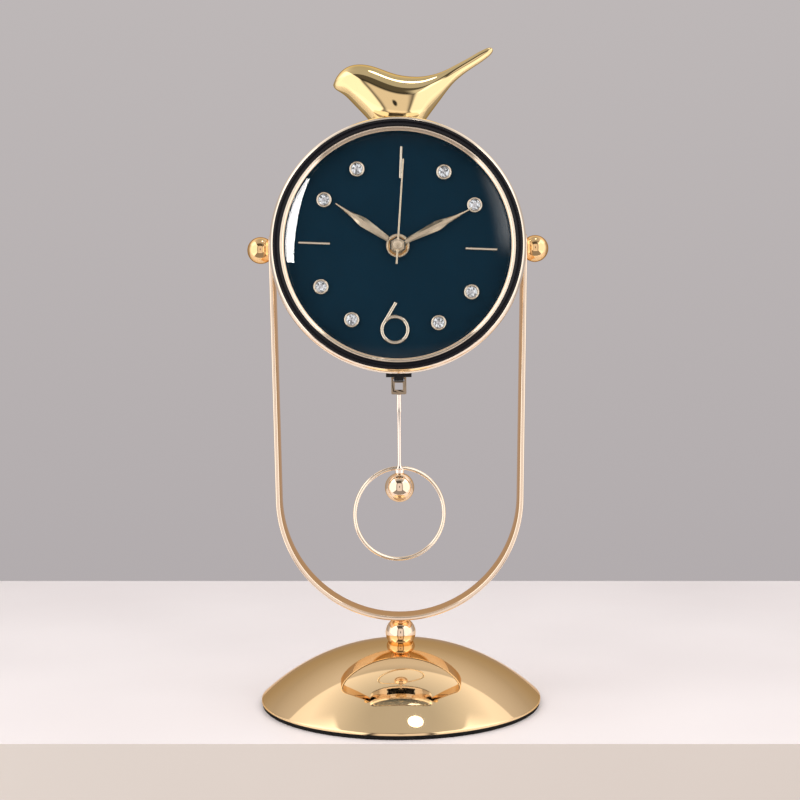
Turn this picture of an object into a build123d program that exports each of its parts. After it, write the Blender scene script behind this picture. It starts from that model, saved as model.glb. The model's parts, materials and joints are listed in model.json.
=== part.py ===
from build123d import *
import os
from math import acos, cos, degrees, pi, radians, sin, sqrt, tan

# Desk pendulum clock in millimetres: Z is up, the dial faces -Y,
# and the origin is on the table under the middle of the base.

# Base
DOME_RADIUS = 65.6
MAT_INSET = 0.5
MAT_THICKNESS = 1.9
DOME_RISE = 25.9
DOME_RIM_HEIGHT = 0.9
DOME_RIM_ROUND = 0.8
DOME_WALL = 1.0
WEIGHT_INSET = 15.6
WEIGHT_HEIGHT = 8.0
WEIGHT_HUB_RADIUS = 10.0
NUT_RECESS_RADIUS = 8.0
NUT_RECESS_DEPTH = 6.0
NUT_WIDTH = 8.0
NUT_HEIGHT = 4.0
WASHER_RADIUS = 6.5
WASHER_THICKNESS = 1.0
STUD_RADIUS = 2.5
STUD_END_ABOVE_MAT = 0.6

# Neck ball and frame
NECK_BALL_RADIUS = 7.1
NECK_SEAT_RADIUS = 5.8
FRAME_SEAT_RADIUS = 2.6
FRAME_WIDTH = 14.0
FRAME_THICKNESS = 2.0
FRAME_EDGE_ROUND = 0.5
FRAME_END_FLAT = 0.1
FRAME_LEAN = 1.27
FRAME_ARM_RISE = 116.8

# Drum of the head, from its own axis: radii, and stations counted forward of the pivots
CASE_RADIUS = 57.3
CASE_WALL = 0.8
CASE_REAR = -12.0
LIP_PROUD = 2.0
LIP_HEIGHT = 8.6
LIP_WEB = 1.2
LIP_CREST = 4.5
LIP_BELLY_OUT = 0.72
LIP_BELLY_BACK = 0.42
CASE_SLOT_WIDTH = 42.0
CASE_SLOT_DEPTH = 15.0
REAR_PLATE_THICKNESS = 1.6
REAR_SPIGOT_WIDTH = 1.5
REAR_SPIGOT_HEIGHT = 3.0
REAR_WINDOW_ROOM = 1.0
REAR_WINDOW_ROUND = 4.0
POST_RADIUS = 3.0
POST_INSET = 5.0
POST_COUNT = 4
SCREW_RADIUS = 1.1
SCREW_LENGTH = 10.0
SCREW_HEAD_RADIUS = 2.6
SCREW_HEAD_HEIGHT = 1.6

# Front of the head
DIAL_STATION = 12.0
DIAL_THICKNESS = 0.8
DIAL_ANGLE = 2.4
LEDGE_WIDTH = 4.1
LEDGE_THICKNESS = 0.7
BLACK_RING_WIDTH = 2.9
BLACK_RING_PROUD = 0.3
RIDGE_WIDTH = 1.1
RIDGE_DROP = 0.45
RIDGE_SLANT = 0.4
GROOVE_WIDTH = 0.75
GROOVE_DEPTH = 0.35
RING_BEVEL = 0.4
BEZEL_WIDTH = 2.4
BEZEL_TUBE_WALL = 0.9
BEZEL_FLANGE = 1.6
BEZEL_BEAD = 1.1
BEZEL_VALLEY = 0.6
BEZEL_SHOULDER = 0.5
BEZEL_EDGE = 0.3
GLASS_STANDOFF = 3.7
GLASS_THICKNESS = 1.4
GLASS_CROWN = 4.2
GLASS_RIM = 1.4

# Dial furniture
BAR_INNER = 31.5
BAR_OUTER = 46.1
BAR_WIDTH = 1.3
BAR_HEIGHT = 0.9
STONE_CIRCLE = 40.3
DIAL_HOURS = 12
CUP_RADIUS = 3.6
CUP_HEIGHT = 1.7
CUP_RIM = 0.9
CUP_FLOOR = 0.4
CUP_LIP = 0.3
STONE_TABLE_RADIUS = 1.45
STONE_CROWN = 0.7
STONE_GIRDLE = 0.2
STONE_SIDES = 8
SIX_DROP = 38.8
SIX_RADIUS = 6.0
SIX_WIRE = 1.7
SIX_HEIGHT = 0.9
SIX_STEM_TOP = 12.5

# Movement
WASHER_RUBBER = 1.0
WASHER_RUBBER_RADIUS = 9.0
MOVEMENT_DEPTH = 16.0
MOVEMENT_WALL = 1.5
MOVEMENT_ROUND = 3.0
DRIVE_WIDTH = 40.0
DRIVE_ROOM = 6.5
DRIVE_SLOT_WIDTH = 14.0
DRIVE_SLOT_DEPTH = 5.0
BUSH_RADIUS = 3.75
BUSH_REACH = 1.5
DIAL_NUT_WIDTH = 9.4
DIAL_NUT_HEIGHT = 1.2
BATTERY_RADIUS = 7.1
BATTERY_LENGTH = 49.0
BATTERY_NUB_RADIUS = 2.7
BATTERY_NUB_LENGTH = 1.3
BATTERY_DROP = 18.0
BATTERY_ROOM = 0.35
BAY_WALL = 2.55
CONTACT_ROOM = 1.35
CONTACT_THICKNESS = 0.4
CONTACT_WIDTH = 8.0
BOARD_WIDTH = 17.0
BOARD_HEIGHT = 15.0
BOARD_THICKNESS = 1.2
COIL_RADIUS = 3.4
COIL_LENGTH = 13.0
COIL_CORE_RADIUS = 1.0
COIL_CHEEK = 1.0
COIL_CHEEK_PROUD = 0.5

# Gears of the motion work
MODULE = 0.5
ADDENDUM_SHARE = 0.9
DEDENDUM_SHARE = 1.1
ROOT_SHARE = 0.92
MINUTE_PINION_TEETH = 10
REVERSER_TEETH = 30
REVERSER_PINION_TEETH = 8
HOUR_TEETH = 32
SECOND_WHEEL_TEETH = 32
GEAR_THICKNESS = 1.2
GEAR_PITCH_DEPTH = 2.2
BACKLASH = 0.22
PRESSURE_ANGLE = 20.0
HOUR_PIPE_RADIUS = 2.55
HOUR_PIPE_BORE = 1.86
MINUTE_PIPE_RADIUS = 1.8
MINUTE_PIPE_BORE = 0.96
SECOND_ARBOR_RADIUS = 0.9
SET_SHAFT_RADIUS = 1.2
SET_KNOB_RADIUS = 6.0
SET_KNOB_HEIGHT = 4.5
SET_KNOB_RIBS = 16
SET_KNOB_RIB = 0.5

# Hands: angles are clockwise from twelve, seen from the front
HOUR_ANGLE = -55.6
HOUR_LENGTH = 34.7
HOUR_BOSS_RADIUS = 5.45
MINUTE_ANGLE = 64.0
MINUTE_LENGTH = 36.8
MINUTE_BOSS_RADIUS = 3.2
MINUTE_NUT_WIDTH = 7.2
MINUTE_NUT_HEIGHT = 0.8
SECOND_ANGLE = 4.0
SECOND_LENGTH = 39.6
SECOND_TAIL = 8.8
SECOND_WIDTH = 0.9
SECOND_TIP_SHARE = 0.5
SECOND_CAP_RADIUS = 2.2
SECOND_CAP_HEIGHT = 1.5
HAND_THICKNESS = 0.6
HAND_EDGE = 0.15
HAND_FLAT_HALF_WIDTH = 0.7
HAND_ROOT_HALF_WIDTH = 1.05
HAND_BELLY_HALF_WIDTH = 2.2
HAND_BELLY_SHARE = 0.56
HAND_NECK_HALF_WIDTH = 0.85
HAND_NECK_SHARE = 0.78
HAND_TIP_HALF_WIDTH = 0.36
HAND_SIDE_ROOM = 0.2
HAND_LEVEL_GAP = 0.4
HAND_LAP = 1.0

# Pivots and ball knobs
SPACER_RADIUS = 4.5
SPACER_THICKNESS = 1.1
SPACER_GAP = 0.3
BOLT_RADIUS = 2.0
BOLT_HEAD_WIDTH = 7.0
BOLT_HEAD_HEIGHT = 2.8
BOLT_IN_KNOB = 4.5
KNOB_RADIUS = 6.32
KNOB_SEAT_RADIUS = 4.9
KNOB_GAP = 0.35

# Pendulum
SWING_PIVOT_ROOM = 5.55
PIN_RADIUS = 0.9
PIN_SEAT = 1.0
ARM_HUB_RADIUS = 2.2
ARM_WIDTH = 4.6
ARM_THICKNESS = 1.2
CROSS_BAR_WIDTH = 12.1
CROSS_BAR_HEIGHT = 2.0
CROSS_BAR_CLEARANCE = 2.3
HOOK_BELOW_BAR = 2.7
HOOK_FLOOR = 0.9
HOOK_LIP = 1.1
HOOK_LIP_HEIGHT = 2.4
MAGNET_RADIUS = 2.5
MAGNET_THICKNESS = 2.0
MAGNET_SHARE = 0.6
DRIVE_COIL_SHARE = 0.33
DRIVE_COIL_BORE_SHARE = 0.42
DRIVE_COIL_GAP = 0.6
STIRRUP_BAR_RADIUS = 0.75
STIRRUP_WIDTH = 7.2
STIRRUP_THICKNESS = 1.2
STIRRUP_LEG = 1.0
STIRRUP_CROSS = 0.8
STIRRUP_EYE_WIDTH = 3.8
STIRRUP_EYE_HEIGHT = 3.3
STIRRUP_FOOT = 2.2
STIRRUP_ROUND = 0.6
ROD_RADIUS = 0.9
ROD_LENGTH = 32.3
SLEEVE_RADIUS = 1.15
SLEEVE_LENGTH = 8.5
ROD_FOOT_RADIUS = 2.3
ROD_FOOT_HEIGHT = 5.2
PENDULUM_RING_RADIUS = 21.55
PENDULUM_WIRE_RADIUS = 0.95
PENDULUM_RING_ANGLE = 12.0
PENDULUM_BALL_RADIUS = 6.95
PENDULUM_BALL_SEAT_RADIUS = 2.25

# Bird
BIRD_SCREW_RADIUS = 1.6
BIRD_SCREW_LENGTH = 9.0
BIRD_SCREW_HEAD_RADIUS = 3.0
BIRD_SCREW_HEAD_HEIGHT = 1.8

# Clearances
RUNNING_FIT = 0.06
HOLE_ROOM = 0.1
SEAT_ROOM = 0.1
MOVING_ROOM = 0.4
TOUCH = 0.01

# Sizes that follow
mat_radius = DOME_RADIUS - MAT_INSET
weight_radius = DOME_RADIUS - WEIGHT_INSET
dome_seat_z = MAT_THICKNESS + DOME_RISE
neck_z = dome_seat_z + sqrt(NECK_BALL_RADIUS**2 - NECK_SEAT_RADIUS**2)
frame_bottom_z = neck_z + sqrt(NECK_BALL_RADIUS**2 - FRAME_SEAT_RADIUS**2)
frame_inner_x = CASE_RADIUS + SPACER_THICKNESS + SPACER_GAP
lean = radians(FRAME_LEAN)
frame_inner_radius = (frame_inner_x - FRAME_ARM_RISE * tan(lean)) * cos(lean)
frame_outer_radius = frame_inner_radius + FRAME_THICKNESS
frame_outer_x = frame_inner_x + FRAME_THICKNESS / cos(lean)
frame_arc_z = frame_bottom_z + frame_outer_radius
pivot_z = frame_arc_z + FRAME_ARM_RISE

# Stations of the head, counted forward from the pivots
dial_back = DIAL_STATION - DIAL_THICKNESS
shoulder = dial_back - LEDGE_THICKNESS
lip_front = shoulder + LIP_HEIGHT
lip_inner = CASE_RADIUS + SEAT_ROOM
black_outer = lip_inner - SEAT_ROOM
black_inner = black_outer - BLACK_RING_WIDTH
bezel_outer = black_inner - SEAT_ROOM
bezel_inner = bezel_outer - BEZEL_WIDTH
glass_radius = bezel_outer - BEZEL_TUBE_WALL - SEAT_ROOM
glass_back = DIAL_STATION + GLASS_STANDOFF
glass_front = glass_back + GLASS_THICKNESS
case_bore = CASE_RADIUS - CASE_WALL
post_circle = case_bore - POST_INSET
rear_face = CASE_REAR - REAR_PLATE_THICKNESS
movement_front = dial_back - WASHER_RUBBER
movement_floor = movement_front - MOVEMENT_WALL
movement_back = movement_front - MOVEMENT_DEPTH
movement_rim = movement_back + MOVEMENT_WALL
battery_axis = movement_floor - BATTERY_ROOM - BATTERY_RADIUS
bay_half_height = BATTERY_RADIUS + BATTERY_ROOM
bay_half_length = (BATTERY_LENGTH + BATTERY_NUB_LENGTH) / 2 + CONTACT_ROOM
bay_top = bay_half_height - BATTERY_DROP
bay_bottom = -bay_half_height - BATTERY_DROP
movement_width = 2 * (bay_half_length + MOVEMENT_WALL)
movement_top = movement_width / 2
movement_bottom = bay_bottom - BAY_WALL
window_width = movement_width + 2 * REAR_WINDOW_ROOM
drive_bottom = case_bore - DRIVE_ROOM
drive_chamber_top = bay_bottom - 2 * MOVEMENT_WALL
drive_chamber_bottom = MOVEMENT_WALL - drive_bottom
swing_drop = SWING_PIVOT_ROOM - drive_chamber_top
drive_chamber_room = -swing_drop - drive_chamber_bottom
magnet_drop = swing_drop + MAGNET_SHARE * drive_chamber_room
cross_bar_drop = CASE_RADIUS + CROSS_BAR_CLEARANCE
hook_drop = cross_bar_drop + HOOK_BELOW_BAR

# Stations of the hand stack
bush_end = DIAL_STATION + BUSH_REACH
hour_level = bush_end + HAND_LEVEL_GAP
minute_level = hour_level + HAND_THICKNESS + HAND_LEVEL_GAP
minute_top = minute_level + HAND_THICKNESS + MINUTE_NUT_HEIGHT
second_level = minute_top + HAND_LEVEL_GAP
gear_distance = MODULE * (MINUTE_PINION_TEETH + REVERSER_TEETH) / 2
hour_wheel_front = movement_floor - MOVING_ROOM
reverser_front = hour_wheel_front - GEAR_PITCH_DEPTH
second_wheel_front = reverser_front - GEAR_PITCH_DEPTH

# The head's own frame: x to the right, y up, z forward along its axis
HEAD = Plane(origin=(0, 0, pivot_z), x_dir=(1, 0, 0), z_dir=(0, -1, 0))
UP = (Align.CENTER, Align.CENTER, Align.MIN)


def turned(*outline):
    """A solid of revolution about Z from a closed half outline of (radius, height) points."""
    return revolve(Plane.XZ * make_face(Polyline(*outline, close=True)), Axis.Z)


def spun(edges):
    """A solid of revolution about Z from the edges of a closed half outline."""
    return revolve(Plane.XZ * make_face(edges), Axis.Z)


def cap_arc(inner, outer):
    """An arc that leaves (radius, height) level on the axis of a sphere and ends at another point."""
    (r0, z0), (r1, z1) = inner, outer
    drop = z0 - z1
    centre = z0 - (r1**2 - r0**2 + drop**2) / (2 * drop)
    sphere = sqrt(r0**2 + (z0 - centre) ** 2)
    middle = (r0 + r1) / 2
    return ThreePointArc(inner, (middle, centre + sqrt(sphere**2 - middle**2)), outer)


def rod(radius, bottom, top):
    """A round bar along Z between two stations."""
    return Pos(0, 0, bottom) * Cylinder(radius, top - bottom, align=UP)


def tube(outer, bore, bottom, top):
    """A round tube along Z between two stations."""
    return rod(outer, bottom, top) - rod(bore, bottom, top)


def block(x0, x1, y0, y1, z0, z1):
    """A box between two corners."""
    middle = ((x0 + x1) / 2, (y0 + y1) / 2, (z0 + z1) / 2)
    return Pos(*middle) * Box(x1 - x0, y1 - y0, z1 - z0)


def hexagon(width, bottom, top):
    """A hexagonal bar along Z, given across its flats."""
    outline = RegularPolygon(width / 2, 6, major_radius=False)
    return Pos(0, 0, bottom) * extrude(outline, top - bottom)


def clockwise(angle):
    """A turn about the head's axis, clockwise seen from the front."""
    return Rot(0, 0, -angle)


def gear(teeth, bottom, top, phase):
    """A spur gear with straight flanks set at the pressure angle, one tooth centred on the phase angle."""
    pitch = MODULE * teeth / 2
    tip = pitch + ADDENDUM_SHARE * MODULE
    root = pitch - DEDENDUM_SHARE * MODULE
    half = (pi * MODULE / 2 - BACKLASH) / 2
    slope = tan(radians(PRESSURE_ANGLE))
    tip_half = degrees((half - (tip - pitch) * slope) / tip)
    root_half = min(degrees((half + (pitch - root) * slope) / root), ROOT_SHARE * 180 / teeth)
    points = []
    for k in range(teeth):
        centre = phase + 360 * k / teeth
        for radius, offset in ((root, -root_half), (tip, -tip_half), (tip, tip_half), (root, root_half)):
            angle = radians(centre + offset)
            points.append((radius * cos(angle), radius * sin(angle)))
    return Pos(0, 0, bottom) * extrude(make_face(Polyline(*points, close=True)), top - bottom)


def base_mat():
    edge = rod(mat_radius, 0, MAT_THICKNESS)
    return chamfer(edge.edges(), MAT_THICKNESS / 4)


def base_dome():
    rim = (DOME_RADIUS, MAT_THICKNESS + DOME_RIM_HEIGHT)
    rim_inside = (DOME_RADIUS - DOME_WALL, MAT_THICKNESS + DOME_RIM_HEIGHT - DOME_WALL / 2)
    hole = STUD_RADIUS + HOLE_ROOM
    inside = dome_seat_z - DOME_WALL
    shell = spun([
        Line((hole, dome_seat_z), (NECK_SEAT_RADIUS, dome_seat_z)),
        cap_arc((NECK_SEAT_RADIUS, dome_seat_z), rim),
        Line(rim, (DOME_RADIUS, MAT_THICKNESS)),
        Line((DOME_RADIUS, MAT_THICKNESS), (DOME_RADIUS - DOME_WALL, MAT_THICKNESS)),
        Line((DOME_RADIUS - DOME_WALL, MAT_THICKNESS), rim_inside),
        cap_arc((NECK_SEAT_RADIUS, inside), rim_inside),
        Line((NECK_SEAT_RADIUS, inside), (hole, inside)),
        Line((hole, inside), (hole, dome_seat_z)),
    ])
    circles = shell.edges().filter_by(GeomType.CIRCLE)
    rims = circles.filter_by(lambda e: abs(e.radius - DOME_RADIUS) < TOUCH)
    return fillet(rims.sort_by(Axis.Z)[-1], DOME_RIM_ROUND)


def base_weight():
    top = dome_seat_z - DOME_WALL
    disc_top = MAT_THICKNESS + WEIGHT_HEIGHT
    recess = MAT_THICKNESS + NUT_RECESS_DEPTH
    hole = STUD_RADIUS + HOLE_ROOM
    return turned(
        (hole, top), (NECK_SEAT_RADIUS, top), (WEIGHT_HUB_RADIUS, disc_top + NUT_RECESS_DEPTH),
        (WEIGHT_HUB_RADIUS, disc_top), (weight_radius, disc_top), (weight_radius, MAT_THICKNESS),
        (NUT_RECESS_RADIUS, MAT_THICKNESS), (NUT_RECESS_RADIUS, recess), (hole, recess),
    )


def base_washer():
    top = MAT_THICKNESS + NUT_RECESS_DEPTH
    return tube(WASHER_RADIUS, STUD_RADIUS + HOLE_ROOM, top - WASHER_THICKNESS, top)


def base_nut():
    top = MAT_THICKNESS + NUT_RECESS_DEPTH - WASHER_THICKNESS
    nut = hexagon(NUT_WIDTH, max(top - NUT_HEIGHT, MAT_THICKNESS + STUD_END_ABOVE_MAT), top)
    return nut - rod(STUD_RADIUS, 0, top)


def neck_stud():
    return rod(STUD_RADIUS, MAT_THICKNESS + STUD_END_ABOVE_MAT, frame_bottom_z + FRAME_THICKNESS)


def neck_ball():
    ball = Pos(0, 0, neck_z) * Sphere(NECK_BALL_RADIUS)
    ball &= rod(NECK_BALL_RADIUS, dome_seat_z, frame_bottom_z)
    return ball - rod(STUD_RADIUS + HOLE_ROOM, dome_seat_z, frame_bottom_z)


def arm_point(radius, rise, side):
    """A point on a face of an arm of the frame, at a height above the middle of its arc."""
    length = (rise + radius * sin(lean)) / cos(lean)
    return side * (radius * cos(lean) + length * sin(lean)), frame_arc_z + rise


def u_frame():
    """Flat strip bent to a U with arms that lean outwards, rounded at the ends."""
    top = FRAME_ARM_RISE + FRAME_WIDTH / 2
    foot = -frame_outer_radius * sin(lean)
    inner_foot = -frame_inner_radius * sin(lean)
    outer_left, outer_right = (arm_point(frame_outer_radius, foot, side) for side in (-1, 1))
    inner_left, inner_right = (arm_point(frame_inner_radius, inner_foot, side) for side in (-1, 1))
    outer_top_left, outer_top_right = (arm_point(frame_outer_radius, top, side) for side in (-1, 1))
    inner_top_left, inner_top_right = (arm_point(frame_inner_radius, top, side) for side in (-1, 1))
    strip = Plane.XZ * make_face([
        Line(outer_top_left, outer_left),
        ThreePointArc(outer_left, (0, frame_bottom_z), outer_right),
        Line(outer_right, outer_top_right),
        Line(outer_top_right, inner_top_right),
        Line(inner_top_right, inner_right),
        ThreePointArc(inner_right, (0, frame_bottom_z + FRAME_THICKNESS), inner_left),
        Line(inner_left, inner_top_left),
        Line(inner_top_left, outer_top_left),
    ])
    frame = extrude(strip, FRAME_WIDTH / 2, both=True)
    half = FRAME_WIDTH / 2
    corners = frame.edges().filter_by(lambda e: e.center().Z > pivot_z + half - FRAME_END_FLAT)
    corners = corners.filter_by(lambda e: abs(abs(e.center().Y) - half) < TOUCH)
    frame = fillet(corners, half - FRAME_END_FLAT / 2)
    rims = frame.edges().filter_by(lambda e: abs(abs(e.center().Y) - half) < TOUCH)
    frame = fillet(rims, FRAME_EDGE_ROUND)
    across = Pos(0, 0, pivot_z) * Rot(0, 90, 0) * Cylinder(BOLT_RADIUS + RUNNING_FIT, 3 * CASE_RADIUS)
    return frame - across - rod(STUD_RADIUS, 0, neck_z + 2 * NECK_BALL_RADIUS)


def sideways(part, side):
    """Turns a piece made along Z so that it points out along +X or -X at the pivots."""
    return Pos(0, 0, pivot_z) * Rot(0, 90 * side, 0) * part


def ball_knob(side):
    seat = frame_outer_x + KNOB_GAP
    centre = seat + sqrt(KNOB_RADIUS**2 - KNOB_SEAT_RADIUS**2)
    ball = Pos(0, 0, centre) * Sphere(KNOB_RADIUS)
    ball &= rod(KNOB_RADIUS, seat, centre + KNOB_RADIUS)
    return sideways(ball - rod(BOLT_RADIUS + RUNNING_FIT, seat, seat + BOLT_IN_KNOB + SEAT_ROOM), side)


def pivot_bolts():
    head_back = sqrt(case_bore**2 - (BOLT_HEAD_WIDTH / sqrt(3)) ** 2) - HOLE_ROOM
    end = frame_outer_x + KNOB_GAP + BOLT_IN_KNOB
    bolt = rod(BOLT_RADIUS, head_back - BOLT_HEAD_HEIGHT / 2, end)
    bolt += hexagon(BOLT_HEAD_WIDTH, head_back - BOLT_HEAD_HEIGHT, head_back)
    return [sideways(bolt, side) for side in (-1, 1)]


def pivot_spacers():
    outer = frame_inner_x - SPACER_GAP
    collar = tube(SPACER_RADIUS, BOLT_RADIUS + RUNNING_FIT, case_bore, outer)
    drum = HEAD * Cylinder(CASE_RADIUS, 4 * SPACER_RADIUS)
    return [sideways(collar, side) - drum for side in (-1, 1)]


def case_shell():
    """Drawn drum with a rounded front lip, a slot for the pendulum and holes for bolts and bird."""
    crest = (CASE_RADIUS + LIP_PROUD, shoulder + LIP_CREST)
    nose = (lip_inner, lip_front)
    belly = (lip_inner + LIP_BELLY_OUT * LIP_PROUD, lip_front - LIP_BELLY_BACK * (LIP_HEIGHT - LIP_CREST))
    drum = spun([
        Line((case_bore, shoulder), (lip_inner, shoulder)),
        Line((lip_inner, shoulder), nose),
        ThreePointArc(nose, belly, crest),
        Line(crest, (crest[0], shoulder)),
        Line((crest[0], shoulder), (CASE_RADIUS, shoulder - LIP_WEB)),
        Line((CASE_RADIUS, shoulder - LIP_WEB), (CASE_RADIUS, CASE_REAR)),
        Line((CASE_RADIUS, CASE_REAR), (case_bore, CASE_REAR)),
        Line((case_bore, CASE_REAR), (case_bore, shoulder)),
    ])
    half_slot = CASE_SLOT_DEPTH / 2
    drum -= block(-CASE_SLOT_WIDTH / 2, CASE_SLOT_WIDTH / 2, -2 * CASE_RADIUS, 0, -half_slot, half_slot)
    drum -= Rot(0, 90, 0) * Cylinder(BOLT_RADIUS + HOLE_ROOM, 3 * CASE_RADIUS)
    drum -= Rot(-90, 0, 0) * rod(BIRD_SCREW_RADIUS + HOLE_ROOM, 0, 2 * CASE_RADIUS)
    return HEAD * drum


def post_places():
    """The four places of the posts that tie the rear cover to the black ring."""
    return [Rot(0, 0, 45 + 360 * k / POST_COUNT) * Pos(post_circle, 0, 0) for k in range(POST_COUNT)]


def bezel_ring():
    """Black ring with a grooved face, a ledge under the dial and four posts towards the rear."""
    front = lip_front + BLACK_RING_PROUD
    ledge = black_inner - LEDGE_WIDTH
    ridge = black_inner + RIDGE_WIDTH
    ridge_front = front - RIDGE_DROP
    groove = ridge_front - GROOVE_DEPTH
    ring = turned(
        (ledge, shoulder), (ledge, dial_back), (black_inner, dial_back),
        (black_inner, ridge_front - RIDGE_SLANT), (ridge, ridge_front),
        (ridge + GROOVE_WIDTH / 3, groove), (ridge + GROOVE_WIDTH * 2 / 3, groove),
        (ridge + GROOVE_WIDTH, front), (black_outer - RING_BEVEL, front),
        (black_outer, front - RING_BEVEL), (black_outer, shoulder),
    )
    for place in post_places():
        ring += place * rod(POST_RADIUS, CASE_REAR, shoulder)
    for place in post_places():
        ring -= place * rod(SCREW_RADIUS + HOLE_ROOM, CASE_REAR, CASE_REAR + SCREW_LENGTH)
    return HEAD * ring


def inner_bezel():
    """Gold ring with two fine beads on its face and a tube that holds the glass down on the dial."""
    face = glass_front + SEAT_ROOM
    front = face + BEZEL_FLANGE
    tube_bore = bezel_outer - BEZEL_TUBE_WALL
    valley = (bezel_outer - BEZEL_BEAD, front - BEZEL_VALLEY)
    shoulder_edge = (bezel_outer, front - BEZEL_SHOULDER)
    inner_edge = (bezel_inner, face + BEZEL_EDGE)
    inner_crest = ((valley[0] + bezel_inner) / 2, front - BEZEL_SHOULDER)
    ring = spun([
        Line((bezel_outer, DIAL_STATION), shoulder_edge),
        ThreePointArc(shoulder_edge, (bezel_outer - BEZEL_BEAD / 2, front), valley),
        ThreePointArc(valley, inner_crest, inner_edge),
        Line(inner_edge, (bezel_inner, face)),
        Line((bezel_inner, face), (tube_bore, face)),
        Line((tube_bore, face), (tube_bore, DIAL_STATION)),
        Line((tube_bore, DIAL_STATION), (bezel_outer, DIAL_STATION)),
    ])
    return HEAD * ring


def glass_lens():
    """Domed glass with a flat rim."""
    crown = glass_radius - GLASS_RIM
    lens = spun([
        Line((0, glass_back + GLASS_CROWN), (0, glass_front + GLASS_CROWN)),
        cap_arc((0, glass_front + GLASS_CROWN), (crown, glass_front)),
        Line((crown, glass_front), (glass_radius, glass_front)),
        Line((glass_radius, glass_front), (glass_radius, glass_back)),
        Line((glass_radius, glass_back), (crown, glass_back)),
        cap_arc((0, glass_back + GLASS_CROWN), (crown, glass_back)),
    ])
    return HEAD * lens


def dial():
    plate = rod(bezel_outer, dial_back, DIAL_STATION)
    return HEAD * (plate - rod(BUSH_RADIUS + HOLE_ROOM, dial_back, DIAL_STATION))


def on_dial(hour, radius=0.0):
    """The place at an hour of the dial, at a radius, with y pointing outwards."""
    return clockwise(DIAL_ANGLE + 360 / DIAL_HOURS * hour) * Pos(0, radius, DIAL_STATION)


def hour_bars():
    length = BAR_OUTER - BAR_INNER
    outline = Rot(0, 0, 90) * SlotOverall(length, BAR_WIDTH)
    bar = extrude(outline, BAR_HEIGHT)
    bar = chamfer(bar.faces().sort_by(Axis.Z)[-1].edges(), BAR_HEIGHT / 4)
    return [HEAD * on_dial(hour, (BAR_INNER + BAR_OUTER) / 2) * bar for hour in (0, 3, 9)]


def numeral_six():
    """A wire ring with a straight stem that runs tangent to its left side."""
    reach = degrees(acos(SIX_RADIUS / SIX_STEM_TOP))
    touch = (-SIX_RADIUS * sin(radians(reach)), SIX_RADIUS * cos(radians(reach)))
    stem_top = (0, SIX_STEM_TOP)
    ring = Circle(SIX_RADIUS + SIX_WIRE / 2) - Circle(SIX_RADIUS - SIX_WIRE / 2)
    stem = trace(Line(touch, stem_top), SIX_WIRE)
    figure = extrude(ring + stem - Circle(SIX_RADIUS - SIX_WIRE / 2), SIX_HEIGHT)
    figure = chamfer(figure.faces().sort_by(Axis.Z)[-1].edges(), SIX_HEIGHT / 4)
    return HEAD * clockwise(DIAL_ANGLE) * Pos(0, -SIX_DROP, DIAL_STATION) * figure


STONE_HOURS = (1, 2, 4, 5, 7, 8, 10, 11)


def gem_cups():
    bore = CUP_RADIUS - CUP_RIM
    cup = turned(
        (0, 0), (CUP_RADIUS, 0), (CUP_RADIUS, CUP_HEIGHT - CUP_LIP), (CUP_RADIUS - CUP_RIM / 2, CUP_HEIGHT),
        (bore, CUP_HEIGHT - CUP_LIP), (bore, CUP_FLOOR), (0, CUP_FLOOR),
    )
    return [HEAD * on_dial(hour, STONE_CIRCLE) * cup for hour in STONE_HOURS]


def gem_stones():
    """Cut stones: a pointed pavilion, a thin girdle and a crown with a flat table."""
    girdle = CUP_RADIUS - CUP_RIM - SEAT_ROOM / 2
    top = CUP_HEIGHT + STONE_CROWN / 2
    level = top - STONE_CROWN
    outline = RegularPolygon(girdle, STONE_SIDES)
    table = RegularPolygon(STONE_TABLE_RADIUS, STONE_SIDES, rotation=180 / STONE_SIDES)
    culet = RegularPolygon(STONE_TABLE_RADIUS / 4, STONE_SIDES)
    stone = Pos(0, 0, level - STONE_GIRDLE) * extrude(outline, STONE_GIRDLE)
    stone += loft([Pos(0, 0, level) * outline, Pos(0, 0, top) * table], ruled=True)
    stone += loft([Pos(0, 0, CUP_FLOOR) * culet, Pos(0, 0, level - STONE_GIRDLE) * outline], ruled=True)
    return [HEAD * on_dial(hour, STONE_CIRCLE) * stone for hour in STONE_HOURS]


def movement_outline():
    upper = RectangleRounded(movement_width, movement_top - movement_bottom, MOVEMENT_ROUND)
    height = drive_bottom + movement_bottom + 2 * MOVEMENT_ROUND
    lower = RectangleRounded(DRIVE_WIDTH, height, MOVEMENT_ROUND)
    return Pos(0, (movement_top + movement_bottom) / 2) * upper + Pos(0, height / 2 - drive_bottom) * lower


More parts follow.
